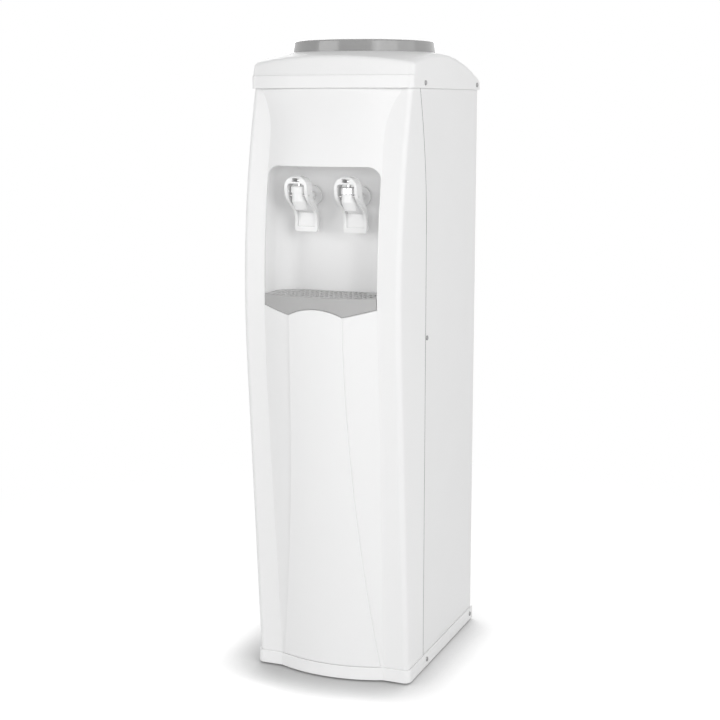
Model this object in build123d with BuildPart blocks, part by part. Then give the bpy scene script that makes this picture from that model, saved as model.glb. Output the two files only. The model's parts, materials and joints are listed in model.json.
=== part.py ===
from build123d import *

import os
from math import atan, cos, pi, sin, sqrt

# Floor-standing column water cooler with two push taps over a drip tray.
# Millimetres, +Z up, the front faces -Y. The origin is on the floor, below the
# middle of the overall box.

# Cabinet
BODY_WIDTH = 258.0
BODY_DEPTH = 325.0
SKIRT = 3.0
FRONT_SKIRT = 4.0
FOOT_HEIGHT = 3.0
BASE_FLOOR = 3.0
BASE_TOP = 24.0
CAP_EDGE = 927.0
CAP_LAP = 12.0
PANEL_WALL = 2.5
SHEET = 0.8
FIT = 0.3
OVERCUT = 40.0
CUT_MARGIN = 1.0
BASE_EDGE = 1.2
VENT_COUNT = 5
VENT_PITCH = 24.0
VENT_LENGTH = 55.0
VENT_WIDTH = 8.0

# Foot pads
PAD_RADIUS = 14.0
PAD_PLUG = 4.0
PAD_INSET = 26.0
PAD_EDGE = 0.8

# Bowed front panel
BOW_SLOPE = 0.08
BOW_TANGENT = 520.0
BOW_RADIUS = 1120.0
CORNER_RADIUS = 8.0
BULGE_FOOT = 18.0
BULGE = 24.0
FLAT_FOOT = 41.0
FLAT_WAIST = 36.0
WAIST = 420.0
FLARE_DROP = 70.0
FLARE_RADIUS = 118.0
FLARE_LENGTH = 72.0
SEAM_DEPTH = 70.0
SEAM_DROP = 220.0
SEAM_RADIUS = 750.0
SEAM_GAP = 0.5
LOWER_SPANS = 10
UPPER_SPANS = 6
TAB_WIDTH = 24.0
TAB_LAP = 16.0
TAB_MARGIN = 16.0

# Raised tongue below the tray
TONGUE_STEP = 2.0
TONGUE_INSET = 4.0
TONGUE_GAP = 1.0

# Alcove and drip tray
WINDOW_EDGE = 1.0
ALCOVE_DROP = 115.0
ALCOVE_HEIGHT = 194.0
TRAY_DEPTH = 16.8
ALCOVE_DEPTH = 24.0
ALCOVE_CORNER = 34.0
WINDOW_CORNER = 20.0
APRON_SIDE = 17.3
APRON_DEPTH = 29.0
APRON_ARCH = 18.0
WAVE_LOW_X = 44.0
WAVE_FILLET = 8.0
TRAY_GAP = 0.8
LINER_SKIRT = 14.0
TRAY_WALL = 2.0
TRAY_LEDGE = 3.0
GRILLE_THICK = 2.6
SLOT_WIDTH = 3.4
SLOT_LENGTH = 15.0
SLOT_PITCH = 8.0
SLOT_ROWS = 4
SLOT_ROW_PITCH = 19.0
SLOT_FIRST_ROW = 11.4
SLOT_MARGIN = 8.5

# Domed cap and bottle collar
DOME_RADIUS = 560.0
DOME_RISE = 55.4
SEAT_RADIUS = 116.0
BAND_HEIGHT = 19.0
BAND_STEP = 2.5
CAP_LEAN = 12.0
CAP_SOFT = 8.0
HOLLOW_SOFT = 4.0
CAP_BULGE = 24.0
COLLAR_SETBACK = 134.0
COLLAR_HEIGHT = 17.5
COLLAR_RADIUS = 113.5
COLLAR_DRAFT = 3.0
COLLAR_RIM = 7.0
COLLAR_WALL = 2.5
COLLAR_SEAT = 16.0
FUNNEL_DROP = 36.0
NECK_RADIUS = 29.5
NECK_LENGTH = 36.0
SPIGOT = 6.0

# Taps
TAP_SPACING = 81.0
TAP_DROP = 47.0
TAP_REACH = 52.0
FLANGE_RADIUS = 16.0
FLANGE_THICK = 3.0
GASKET_THICK = 1.5
GASKET_INSET = 1.0
SHANK_RADIUS = 9.0
SHANK_LENGTH = 18.0
BARREL_RADIUS = 6.8
TAIL_RADIUS = 5.0
TAIL_LENGTH = 24.0
TAIL_BORE = 3.5
NUT_FLATS = 26.0
NUT_THICK = 8.0
COLUMN_RADIUS = 11.0
COLUMN_RISE = 7.0
COLUMN_SKIRT = 2.0
CHAMBER_RADIUS = 7.5
SEAT_DROP = 8.0
PORT_RADIUS = 4.5
SPOUT_RADIUS = 9.5
SPOUT_DROP = 19.0
SPOUT_LEAN = 7.0
BONNET_RADIUS = 13.0
BONNET_HEIGHT = 10.0
BONNET_PLUG = 3.0
STEM_RADIUS = 3.0
STEM_FIT = 0.08
HEAD_RADIUS = 5.0
HEAD_THICK = 3.0
HEAD_EDGE = 0.6
SEAL_RADIUS = 6.8
SEAL_HEIGHT = 5.0
SPRING_RADIUS = 5.2
SPRING_WIRE = 0.5
SPRING_TURNS = 4
PIVOT_FORWARD = 6.0
PIVOT_RISE = 3.0
PIN_RADIUS = 1.5
PIN_FIT = 0.05
LEVER_WIDTH = 37.0
ARM_WIDTH = 4.5
ARM_DEPTH = 20.0
ARM_LEAD = 8.0
PADDLE_DEPTH = 7.0
PADDLE_BACK = 20.0
PADDLE_LOW = 54.0
PADDLE_WEB = 4.5
PADDLE_LIP = 8.0
BEND_HIGH = 1.0
BEND_LOW = 25.0
LEVER_FILLET = 6.0
LEVER_BEND = 24.0
WEB_THICK = 2.5
WEB_GAP = 4.0
NOTCH_GAP = 0.5
HEAD_GAP = 0.5
HOOD_ROOM = 2.0
HOOD_THICK = 3.0
HOOD_CORNER = 17.0
SLOT_CORNER = 5.0
POCKET_GAP = 1.0
PADDLE_CORNER = 4.0

# Water tank and its insulation
SHELF_RISE = 0.5
SHELF_SHEET = 1.2
SHELF_FLANGE = 24.0
SHELF_HOLE_GAP = 2.0
SHELF_NOTCH = 1.0
TANK_RADIUS = 85.0
TANK_WALL = 1.5
TANK_STAND = 14.5
NECK_DIP = 6.0
LID_THICK = 3.0
LID_OVERHANG = 3.0
MOUTH_GAP = 1.5
MOUTH_RISE = 14.0
BAFFLE_RISE = 50.0
BAFFLE_THICK = 3.0
BAFFLE_HOLE_COUNT = 6
BAFFLE_RING = 63.75
STANDPIPE_RISE = 12.0
NOZZLE_RADIUS = 5.0
NOZZLE_BORE = 3.5
NOZZLE_DROP = 30.0
HOSE_WALL = 2.0
HOSE_FIT = 0.1
HOSE_BEND = 24.0
HOSE_GRIP = 12.0
FOAM_HALF = 106.0
FOAM_CORNER = 14.0
FOAM_DROP = 4.0
COIL_TUBE = 4.0
COIL_TURNS = 5
COIL_LOW_MARGIN = 10.0
COIL_HIGH_MARGIN = 13.0
COIL_TAIL = 26.0
COIL_GROOVE = 0.5
COIL_SAMPLES = 72

# Cooling set at the back
RETURN_DEPTH = 14.0
REAR_FLANGE = 16.0
COVER_GAP = 24.0
CROSSBAR_LOW = 27.0
CROSSBAR_HEIGHT = 44.0
COVER_LIP = 10.0
LOUVRE_COUNT = 5
LOUVRE_PITCH = 16.0
LOUVRE_LENGTH = 92.0
LOUVRE_WIDTH = 3.4
RUN_COUNT = 11
CONDENSER_TOP = 676.0
CONDENSER_LOW = 176.0
CONDENSER_HALF = 92.0
CONDENSER_LEAD = 66.0
CONDENSER_TUBE = 2.4
CONDENSER_EASE = 2.0
WIRE_RADIUS = 0.75
WIRE_COUNT = 12
WIRE_SPAN = 60.0
WIRE_GAP = 0.05
WIRE_OVERRUN = 12.0
CLIP_HEIGHT = 12.0
COMPRESSOR_HALF_X = 72.0
COMPRESSOR_HALF_Y = 58.0
COMPRESSOR_HEIGHT = 140.0
COMPRESSOR_SETBACK = 102.0
CROWN_RADIUS = 31.9
HEEL_RADIUS = 14.5
WELD_FLANGE = 4.0
WELD_HEIGHT = 5.0
WELD_RISE = 63.0
BOSS_RADIUS = 8.0
BOSS_HEIGHT = 8.0
BOSS_INSET = 3.0
GROMMET_RADIUS = 9.0
GROMMET_NECK = 6.0
GROMMET_BORE = 3.0
GROMMET_FLANGE = 6.0
PLATE_THICK = 3.0
PLATE_X = 190.0
PLATE_Y = 110.0
BOLT_RADIUS = 2.8
BOLT_HEAD = 5.5
BOLT_HEAD_HEIGHT = 4.2
RELAY_WIDTH = 46.0
RELAY_HEIGHT = 44.0
RELAY_DEPTH = 30.0
RELAY_CORNER = 4.0
RELAY_GAP = 1.0
LINE_RADIUS = 2.4
SUCTION_RADIUS = 3.2
CAPILLARY_RADIUS = 1.1
LINE_BEND = 12.0
CAPILLARY_BEND = 7.2
PIPE_SPACING = 14.0
RISER_SETBACK = 30.0
PORT_X = 30.0
PIPE_RISE = 50.0
SUCTION_RISE = 30.0
CAPILLARY_STEP = 26.0
CAPILLARY_DROP = 16.0
DRIER_RADIUS = 9.0
DRIER_LENGTH = 80.0
DRIER_DROP = 30.0
DRIER_NECK = 10.0
KNOB_RADIUS = 15.0
KNOB_THICK = 10.0
KNOB_GAP = 0.6
KNOB_BORE = 8.0
FLUTE_COUNT = 12
FLUTE_RADIUS = 1.4
POINTER_WIDTH = 1.6
POINTER_LENGTH = 12.0
POINTER_DEPTH = 1.0
THERMOSTAT_INSET = 43.0
THERMOSTAT_RISE = 60.0
THERMOSTAT_WIDTH = 44.0
THERMOSTAT_HEIGHT = 30.0
THERMOSTAT_DEPTH = 24.0
THERMOSTAT_CORNER = 3.0
SHAFT_RADIUS = 3.0
SHAFT_LENGTH = 8.0
GLAND_INSET = 43.0
GLAND_BORE = 3.8
GLAND_RADIUS = 8.0
GLAND_FLANGE = 3.0
GLAND_LENGTH = 12.0

# Screws
SCREW_HEAD = 3.8
SCREW_SHANK = 1.6
SCREW_FIT = 0.1
SCREW_HEAD_HEIGHT = 1.8
SCREW_LENGTH = 9.0
SCREW_TAPER = 20.0
BASE_SCREW_Z = 14.0
CAP_SCREW_RISE = 8.0
SEAM_SCREW_Z = 544.0
BASE_SCREW_SETBACK = 10.0
CAP_SCREW_LEAD = 18.0
REAR_SCREW_INSET = 12.0
SEAM_SCREW_SETBACK = 6.0

HALF_BODY = BODY_WIDTH / 2
BASE_BOTTOM = FOOT_HEIGHT
PANEL_LOW = BASE_BOTTOM + BASE_FLOOR
PANEL_HIGH = CAP_EDGE + CAP_LAP
CAP_SCREW_Z = CAP_EDGE + CAP_SCREW_RISE
FLARE_START = CAP_EDGE - FLARE_DROP
SEAM_TURN = CAP_EDGE - SEAM_DROP
ALCOVE_TOP = CAP_EDGE - ALCOVE_DROP
TRAY_TOP = ALCOVE_TOP - ALCOVE_HEIGHT
ALCOVE_FLOOR = TRAY_TOP - TRAY_DEPTH
WAVE_SIDE = TRAY_TOP - APRON_SIDE
WAVE_LOW = TRAY_TOP - APRON_DEPTH
WAVE_ARCH = TRAY_TOP - APRON_ARCH
BAND_TOP = CAP_EDGE + BAND_HEIGHT
DOME_SEAT = CAP_EDGE + DOME_RISE
TAP_HEIGHT = ALCOVE_TOP - TAP_DROP
SHELF_TOP = ALCOVE_TOP + SHELF_RISE
CREASE_FOOT = HALF_BODY - FLAT_FOOT
CREASE_WAIST = HALF_BODY - FLAT_WAIST
TONGUE_FOOT = CREASE_FOOT - TONGUE_INSET
WINDOW_HALF = CREASE_WAIST - WINDOW_EDGE


def bow(level):
    """How far the panel's flats stand in front of its foot at a height."""
    if level <= BOW_TANGENT:
        return BOW_SLOPE * (level - PANEL_LOW)
    lean = atan(BOW_SLOPE)
    centre = BOW_TANGENT + BOW_RADIUS * sin(lean)
    start = BOW_SLOPE * (BOW_TANGENT - PANEL_LOW)
    return start + sqrt(BOW_RADIUS**2 - (level - centre) ** 2) - BOW_RADIUS * cos(lean)


def bulge(level):
    """How far the middle of the panel stands in front of its flats."""
    share = min(max((level - PANEL_LOW) / (WAIST - PANEL_LOW), 0.0), 1.0)
    return BULGE_FOOT + (BULGE - BULGE_FOOT) * share


def crease(level):
    """Half the width of the bulge, which flares out to the corners at the top."""
    share = min(max((level - PANEL_LOW) / (WAIST - PANEL_LOW), 0.0), 1.0)
    flare = min(max(level - FLARE_START, 0.0), FLARE_LENGTH)
    straight = CREASE_FOOT + (CREASE_WAIST - CREASE_FOOT) * share
    return straight + FLARE_RADIUS - sqrt(FLARE_RADIUS**2 - flare**2)


FRONT_REACH = bow(WAVE_ARCH) + BULGE + TONGUE_STEP
BACK_Y = (BODY_DEPTH + FRONT_REACH) / 2
FLAT_Y = BACK_Y - BODY_DEPTH
SEAM_Y = FLAT_Y + SEAM_DEPTH
FRONT_Y = FLAT_Y - FRONT_REACH
ALCOVE_BACK = FLAT_Y + ALCOVE_DEPTH
COLLAR_Y = FLAT_Y + COLLAR_SETBACK
SHEET_BACK = BACK_Y - SKIRT
RETURN_Y = SHEET_BACK - RETURN_DEPTH
RETURN_X = HALF_BODY - REAR_FLANGE
DOME_TOP = DOME_SEAT - sqrt(DOME_RADIUS**2 - SEAT_RADIUS**2) + DOME_RADIUS
TAP_SIDES = {"left": -TAP_SPACING / 2, "right": TAP_SPACING / 2}
CABINET_SIDES = {"left": -1, "right": 1}

LOWER_STEP = (FLARE_START - PANEL_LOW) / LOWER_SPANS
UPPER_STEP = (PANEL_HIGH - FLARE_START) / UPPER_SPANS
PANEL_LEVELS = [PANEL_LOW + step * LOWER_STEP for step in range(LOWER_SPANS)]
PANEL_LEVELS += [FLARE_START + step * UPPER_STEP for step in range(UPPER_SPANS + 1)]
CORE_LEVELS = [PANEL_LOW - OVERCUT] + PANEL_LEVELS[1:-1] + [PANEL_HIGH + CUT_MARGIN]
TRAY_LEVELS = [WAVE_LOW - OVERCUT, (WAVE_LOW + TRAY_TOP) / 2, TRAY_TOP + OVERCUT]

os.makedirs("parts", exist_ok=True)


def save(piece, node):
    """Labels a finished piece and writes it as one STEP file."""
    piece.label = node
    export_step(piece, f"parts/{node}.step")


def seam(level):
    """Where the panel meets the side sheet, which turns forward near the top."""
    rise = max(level - SEAM_TURN, 0.0)
    return SEAM_Y - SEAM_RADIUS + sqrt(SEAM_RADIUS**2 - rise**2)


def front_section(level, side, front, back):
    """Draws the panel's plan at a height: two flats, a bulge and round corners."""
    half = HALF_BODY + side
    flat = FLAT_Y - bow(level) - front
    radius = CORNER_RADIUS + min(side, front)
    nick = radius * (1 - cos(pi / 4))
    edge = crease(level)
    Line((half, back), (half, flat + radius))
    ThreePointArc((half, flat + radius), (half - nick, flat + nick), (half - radius, flat))
    Line((half - radius, flat), (edge, flat))
    ThreePointArc((edge, flat), (0, flat - bulge(level)), (-edge, flat))
    Line((-edge, flat), (radius - half, flat))
    ThreePointArc((radius - half, flat), (nick - half, flat + nick), (-half, flat + radius))
    Line((-half, flat + radius), (-half, back))
    Line((-half, back), (half, back))


def front_form(side, front, levels, setback):
    """Lofts the panel's plan through a list of heights."""
    with BuildPart() as form:
        for level in levels:
            with BuildSketch(Plane.XY.offset(level)):
                with BuildLine():
                    front_section(level, side, front, seam(level) + setback)
                make_face()
        loft()
    return form.part


def alcove_plan(inset):
    """Draws the alcove's plan: straight sides and a back with large corners."""
    half = WINDOW_HALF - inset
    back = ALCOVE_BACK - inset
    radius = ALCOVE_CORNER - inset
    nick = radius * (1 - cos(pi / 4))
    front = FRONT_Y - OVERCUT
    Polyline((-half, back - radius), (-half, front), (half, front), (half, back - radius))
    ThreePointArc((half, back - radius), (half - nick, back - nick), (half - radius, back))
    Line((half - radius, back), (radius - half, back))
    ThreePointArc((radius - half, back), (nick - half, back - nick), (-half, back - radius))


def alcove_prism(inset, low, high):
    """Stands the alcove's plan up between two heights."""
    with BuildPart() as prism:
        with BuildSketch(Plane.XY.offset(low)):
            with BuildLine():
                alcove_plan(inset)
            make_face()
        extrude(amount=high - low)
    return prism.part


def wave_outline(inset, top):
    """Draws the window's outline with the wavy edge below the tray."""
    half = WINDOW_HALF - inset
    side = WAVE_SIDE + inset
    low = WAVE_LOW + inset
    arch = WAVE_ARCH + inset
    Polyline((-WAVE_LOW_X, low), (-half, side), (-half, top), (half, top), (half, side), (WAVE_LOW_X, low))
    ThreePointArc((WAVE_LOW_X, low), (0, arch), (-WAVE_LOW_X, low))


def tube_along(points, bend, radius):
    """Sweeps a round bar along straight runs joined by equal bends."""
    with BuildPart() as tube:
        with BuildLine() as route:
            FilletPolyline(*points, radius=bend)
        with BuildSketch(Plane(origin=points[0], z_dir=route.line % 0)):
            Circle(radius)
        sweep()
    return tube.part


# Base with its rim round the foot of the panels
BOSS_X = PLATE_X / 2 - BOSS_RADIUS - BOSS_INSET
BOSS_Y = PLATE_Y / 2 - BOSS_RADIUS - BOSS_INSET
COMPRESSOR_Y = RETURN_Y - COMPRESSOR_SETBACK
BOSS_TOP = PANEL_LOW + BOSS_HEIGHT
PAD_X = HALF_BODY - PAD_INSET
PAD_SPOTS = [
    (x, y) for x in (-PAD_X, PAD_X) for y in (FLAT_Y + PAD_INSET, SHEET_BACK - PAD_INSET)
]
FRONT_SCREW_Y = SEAM_Y + BASE_SCREW_SETBACK
CAP_FRONT_SCREW_Y = SEAM_Y - CAP_SCREW_LEAD
REAR_SCREW_Y = SHEET_BACK - REAR_SCREW_INSET
SEAM_SCREW_Y = SEAM_Y + SEAM_SCREW_SETBACK
SCREW_SPOTS = [
    (FRONT_SCREW_Y, BASE_SCREW_Z, SKIRT),
    (REAR_SCREW_Y, BASE_SCREW_Z, SKIRT),
    (CAP_FRONT_SCREW_Y, CAP_SCREW_Z, SKIRT),
    (REAR_SCREW_Y, CAP_SCREW_Z, SKIRT),
    (SEAM_SCREW_Y, SEAM_SCREW_Z, 0.0),
]
SCREW_HOLE = SCREW_SHANK + SCREW_FIT


def screw_holes(level=None):
    """Sketch of the screw holes in a side, all of them or those at one height."""
    with BuildSketch(Plane.YZ) as holes:
        with Locations(*[(y, z) for y, z, stand in SCREW_SPOTS if level in (None, z)]):
            Circle(SCREW_HOLE)
    return holes.sketch


with BuildPart() as base_plinth:
    with BuildSketch(Plane.XY.offset(BASE_BOTTOM)):
        with BuildLine():
            front_section(PANEL_LOW, SKIRT, FRONT_SKIRT, BACK_Y)
        make_face()
    extrude(amount=BASE_TOP - BASE_BOTTOM)
    fillet(base_plinth.edges().group_by(Axis.Z)[-1], BASE_EDGE)
    with BuildSketch(Plane.XY.offset(PANEL_LOW)):
        with BuildLine():
            front_section(PANEL_LOW, FIT, FIT + bow(BASE_TOP), SHEET_BACK + FIT)
        make_face()
    extrude(amount=BASE_TOP, mode=Mode.SUBTRACT)
    with BuildSketch(Plane.XY.offset(PANEL_LOW)):
        with Locations((0, COMPRESSOR_Y)):
            with GridLocations(2 * BOSS_X, 2 * BOSS_Y, 2, 2):
                Circle(BOSS_RADIUS)
                Circle(BOLT_RADIUS + SCREW_FIT, mode=Mode.SUBTRACT)
    extrude(amount=BOSS_HEIGHT)
    with BuildSketch(Plane.XY.offset(BASE_BOTTOM)):
        with Locations(*PAD_SPOTS):
            Circle(PAD_PLUG + SCREW_FIT)
        with Locations((0, COMPRESSOR_Y)):
            with GridLocations(VENT_PITCH, 0, VENT_COUNT, 1):
                SlotOverall(VENT_LENGTH, VENT_WIDTH, rotation=90)
    extrude(amount=BASE_FLOOR, mode=Mode.SUBTRACT)
    extrude(screw_holes(BASE_SCREW_Z), amount=BODY_WIDTH, both=True, mode=Mode.SUBTRACT)
save(base_plinth.part, "base_plinth")

with BuildPart() as foot_pads:
    with BuildSketch():
        with Locations(*PAD_SPOTS):
            Circle(PAD_RADIUS)
    extrude(amount=FOOT_HEIGHT)
    chamfer(foot_pads.edges().group_by(Axis.Z)[0], PAD_EDGE)
    with BuildSketch(Plane.XY.offset(FOOT_HEIGHT)):
        with Locations(*PAD_SPOTS):
            Circle(PAD_PLUG)
    extrude(amount=BASE_FLOOR)
save(foot_pads.part, "foot_pads")

# Front panel: a bowed shell with a raised tongue, a window and side tabs
panel_core = front_form(-PANEL_WALL, -PANEL_WALL, CORE_LEVELS, OVERCUT)
TAB_OUTER = HALF_BODY - SHEET - FIT
TAB_INNER = TAB_OUTER - PANEL_WALL
TAB_LOW = BASE_TOP
TAB_LENGTH = SEAM_TURN - TAB_MARGIN - TAB_LOW
TONGUE_LOW = BASE_TOP + TONGUE_GAP

with BuildPart() as raised_tongue:
    add(front_form(0, TONGUE_STEP, [level for level in PANEL_LEVELS if level < SEAM_TURN], 0))
    with BuildSketch(Plane.XZ.offset(-SEAM_Y)):
        with BuildLine():
            left = TangentArc((-WAVE_LOW_X, WAVE_LOW), (-TONGUE_FOOT, TONGUE_LOW), tangent=(0, -1))
            ThreePointArc((-WAVE_LOW_X, WAVE_LOW), (0, WAVE_ARCH), (WAVE_LOW_X, WAVE_LOW))
            right = TangentArc((WAVE_LOW_X, WAVE_LOW), (TONGUE_FOOT, TONGUE_LOW), tangent=(0, -1))
            Line(left @ 1, right @ 1)
        make_face()
    extrude(amount=BODY_DEPTH, mode=Mode.INTERSECT)

with BuildPart() as front_panel:
    add(front_form(0, 0, PANEL_LEVELS, 0))
    add(raised_tongue.part)
    add(panel_core, mode=Mode.SUBTRACT)
    with BuildSketch(Plane.XZ.offset(-SEAM_Y)) as window:
        with BuildLine():
            wave_outline(0, ALCOVE_TOP)
        make_face()
        fillet(window.vertices().group_by(Axis.Y)[0], WAVE_FILLET)
        fillet(window.vertices().group_by(Axis.Y)[-1], WINDOW_CORNER)
    extrude(amount=BODY_DEPTH, mode=Mode.SUBTRACT)
    with BuildSketch(Plane.XY.offset(TAB_LOW)):
        for side in CABINET_SIDES.values():
            with Locations((side * (TAB_OUTER + TAB_INNER) / 2, SEAM_Y + TAB_LAP - TAB_WIDTH / 2)):
                Rectangle(PANEL_WALL, TAB_WIDTH)
    extrude(amount=TAB_LENGTH)
    extrude(screw_holes(SEAM_SCREW_Z), amount=BODY_WIDTH, both=True, mode=Mode.SUBTRACT)
save(front_panel.part, "front_panel")

# Alcove liner, trimmed to the inside of the panel
panel_lining = front_form(-PANEL_WALL - FIT, -PANEL_WALL - FIT, CORE_LEVELS, OVERCUT)


def alcove_block(grow):
    """The alcove's space, or its outside, with a rounded ceiling."""
    with BuildPart() as block:
        add(alcove_prism(-grow, ALCOVE_FLOOR - grow, ALCOVE_TOP + grow))
        fillet(block.edges().group_by(Axis.Z)[-1], WINDOW_CORNER + grow)
    return block.part


SKIRT_LOW = WAVE_LOW - LINER_SKIRT
SKIRT_OUTER = -2 * PANEL_WALL
SKIRT_INNER = SKIRT_OUTER - PANEL_WALL
with BuildPart() as liner_skirt:
    add(front_form(SKIRT_OUTER, SKIRT_OUTER, TRAY_LEVELS, OVERCUT))
    with BuildSketch(Plane.XZ.offset(-SEAM_Y)):
        with Locations((0, (SKIRT_LOW + ALCOVE_FLOOR) / 2)):
            Rectangle(2 * WINDOW_HALF + PANEL_WALL, ALCOVE_FLOOR - SKIRT_LOW)
    extrude(amount=BODY_DEPTH, mode=Mode.INTERSECT)
    add(front_form(SKIRT_INNER, SKIRT_INNER, TRAY_LEVELS, OVERCUT), mode=Mode.SUBTRACT)

with BuildPart() as alcove_liner:
    add(alcove_block(PANEL_WALL))
    add(alcove_block(0), mode=Mode.SUBTRACT)
    add(panel_lining, mode=Mode.INTERSECT)
    add(liner_skirt.part)
    with BuildSketch(Plane.XZ.offset(-ALCOVE_BACK)):
        with Locations(*[(x, TAP_HEIGHT) for x in TAP_SIDES.values()]):
            Circle(SHANK_RADIUS + FIT)
    extrude(amount=2 * PANEL_WALL, both=True, mode=Mode.SUBTRACT)
save(alcove_liner.part, "alcove_liner")

# Drip tray with its wavy apron, and the slotted grille that lies in it
TRAY_FLOOR = ALCOVE_FLOOR + FIT
LEDGE_LEVEL = TRAY_TOP - GRILLE_THICK - FIT
RIM_INSET = TRAY_GAP + TRAY_WALL
tray_skin = front_form(0, 0, TRAY_LEVELS, OVERCUT)
tray_back = front_form(-TRAY_WALL, -TRAY_WALL, TRAY_LEVELS, OVERCUT)
ledge_back = front_form(-TRAY_WALL - TRAY_LEDGE, -TRAY_WALL - TRAY_LEDGE, TRAY_LEVELS, OVERCUT)
grille_front = front_form(-TRAY_WALL - FIT, -TRAY_WALL - FIT, TRAY_LEVELS, OVERCUT)

with BuildPart() as tray_apron:
    add(tray_skin)
    with BuildSketch(Plane.XZ.offset(-SEAM_Y)) as apron:
        with BuildLine():
            wave_outline(TRAY_GAP, TRAY_TOP)
        make_face()
        fillet(apron.vertices().group_by(Axis.Y)[0], WAVE_FILLET)
    extrude(amount=BODY_DEPTH, mode=Mode.INTERSECT)
    add(tray_back, mode=Mode.SUBTRACT)

with BuildPart() as tray_well:
    add(alcove_prism(RIM_INSET, LEDGE_LEVEL, TRAY_TOP + OVERCUT))
    add(tray_back, mode=Mode.INTERSECT)

with BuildPart() as tray_sump:
    add(alcove_prism(RIM_INSET + TRAY_LEDGE, TRAY_FLOOR + TRAY_WALL, TRAY_TOP))
    add(ledge_back, mode=Mode.INTERSECT)

with BuildPart() as drip_tray:
    add(alcove_prism(TRAY_GAP, TRAY_FLOOR, TRAY_TOP))
    add(tray_skin, mode=Mode.INTERSECT)
    add(tray_apron.part)
    add(tray_well.part, mode=Mode.SUBTRACT)
    add(tray_sump.part, mode=Mode.SUBTRACT)
save(drip_tray.part, "drip_tray")

GRILLE_BACK = ALCOVE_BACK - RIM_INSET - FIT
with BuildPart() as drip_grille:
    add(alcove_prism(RIM_INSET + FIT, TRAY_TOP - GRILLE_THICK, TRAY_TOP))
    add(grille_front, mode=Mode.INTERSECT)
    with BuildSketch(Plane.XY.offset(TRAY_TOP)):
        for row in range(SLOT_ROWS):
            row_y = GRILLE_BACK - SLOT_FIRST_ROW - SLOT_ROW_PITCH * row
            inset = ALCOVE_CORNER if row == 0 else SLOT_MARGIN
            count = int(2 * (WINDOW_HALF - inset) / SLOT_PITCH)
            with Locations((0, row_y)):
                with GridLocations(SLOT_PITCH, 0, count, 1):
                    Rectangle(SLOT_WIDTH, SLOT_LENGTH)
    extrude(amount=-GRILLE_THICK, mode=Mode.SUBTRACT)
save(drip_grille.part, "drip_grille")

# Side sheets with a double fold along the back edge
for name, side in CABINET_SIDES.items():
    with BuildPart() as side_panel:
        with BuildSketch(Plane.YZ.offset(side * HALF_BODY)):
            with BuildLine():
                foot = (SEAM_Y + SEAM_GAP, PANEL_LOW)
                turn = (SEAM_Y + SEAM_GAP, SEAM_TURN)
                top = (seam(PANEL_HIGH) + SEAM_GAP, PANEL_HIGH)
                half_way = (SEAM_TURN + PANEL_HIGH) / 2
                Line(foot, turn)
                ThreePointArc(turn, (seam(half_way) + SEAM_GAP, half_way), top)
                Polyline(top, (SHEET_BACK, PANEL_HIGH), (SHEET_BACK, PANEL_LOW), foot)
            make_face()
        extrude(amount=-side * SHEET)
        with BuildSketch(Plane.XY.offset(BASE_TOP)):
            with BuildLine():
                Polyline(
                    (side * HALF_BODY, SHEET_BACK),
                    (side * RETURN_X, SHEET_BACK),
                    (side * RETURN_X, RETURN_Y),
                    (side * (RETURN_X + SHEET), RETURN_Y),
                    (side * (RETURN_X + SHEET), SHEET_BACK - SHEET),
                    (side * HALF_BODY, SHEET_BACK - SHEET),
                    close=True,
                )
            make_face()
        extrude(amount=CAP_EDGE - BASE_TOP)
        extrude(screw_holes(), amount=BODY_WIDTH, both=True, mode=Mode.SUBTRACT)
    save(side_panel.part, f"side_panel_{name}")

with BuildPart() as casing_screws:
    for y, z, stand in SCREW_SPOTS:
        for side in CABINET_SIDES.values():
            with BuildSketch(Plane.YZ.offset(side * (HALF_BODY + stand))):
                with Locations((y, z)):
                    Circle(SCREW_SHANK)
            extrude(amount=-side * SCREW_LENGTH)
            with BuildSketch(Plane.YZ.offset(side * (HALF_BODY + stand))):
                with Locations((y, z)):
                    Circle(SCREW_HEAD)
            extrude(amount=side * SCREW_HEAD_HEIGHT, taper=SCREW_TAPER)
save(casing_screws.part, "casing_screws")

# Domed cap: walls under a shallow dome, with a round seat for the collar
CAP_FRONT = FLAT_Y - bow(CAP_EDGE) - FRONT_SKIRT


def cap_section(side, front, back):
    """Draws the cap's plan: one arc across the front and round corners."""
    half = HALF_BODY + side
    flat = CAP_FRONT + front
    radius = CORNER_RADIUS
    nick = radius * (1 - cos(pi / 4))
    Line((half, back), (half, flat + radius))
    ThreePointArc((half, flat + radius), (half - nick, flat + nick), (half - radius, flat))
    ThreePointArc((half - radius, flat), (0, flat - CAP_BULGE), (radius - half, flat))
    ThreePointArc((radius - half, flat), (nick - half, flat + nick), (-half, flat + radius))
    Line((-half, flat + radius), (-half, back))
    Line((-half, back), (half, back))


def front_waste(inset):
    """What the leaning front leaves away above the cap's band."""
    low = BAND_TOP - inset
    with BuildPart() as waste:
        with BuildSketch(Plane.XY.offset(low)):
            with BuildLine():
                cap_section(SKIRT, -OVERCUT, SEAM_Y)
            make_face()
        extrude(amount=DOME_SEAT - low)
        for level, lean in ((low, 0.0), (DOME_SEAT, CAP_LEAN)):
            with BuildSketch(Plane.XY.offset(level)):
                with BuildLine():
                    cap_section(SKIRT, BAND_STEP + inset + lean, SEAM_Y)
                make_face()
        loft(mode=Mode.SUBTRACT)
    return waste.part


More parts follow.
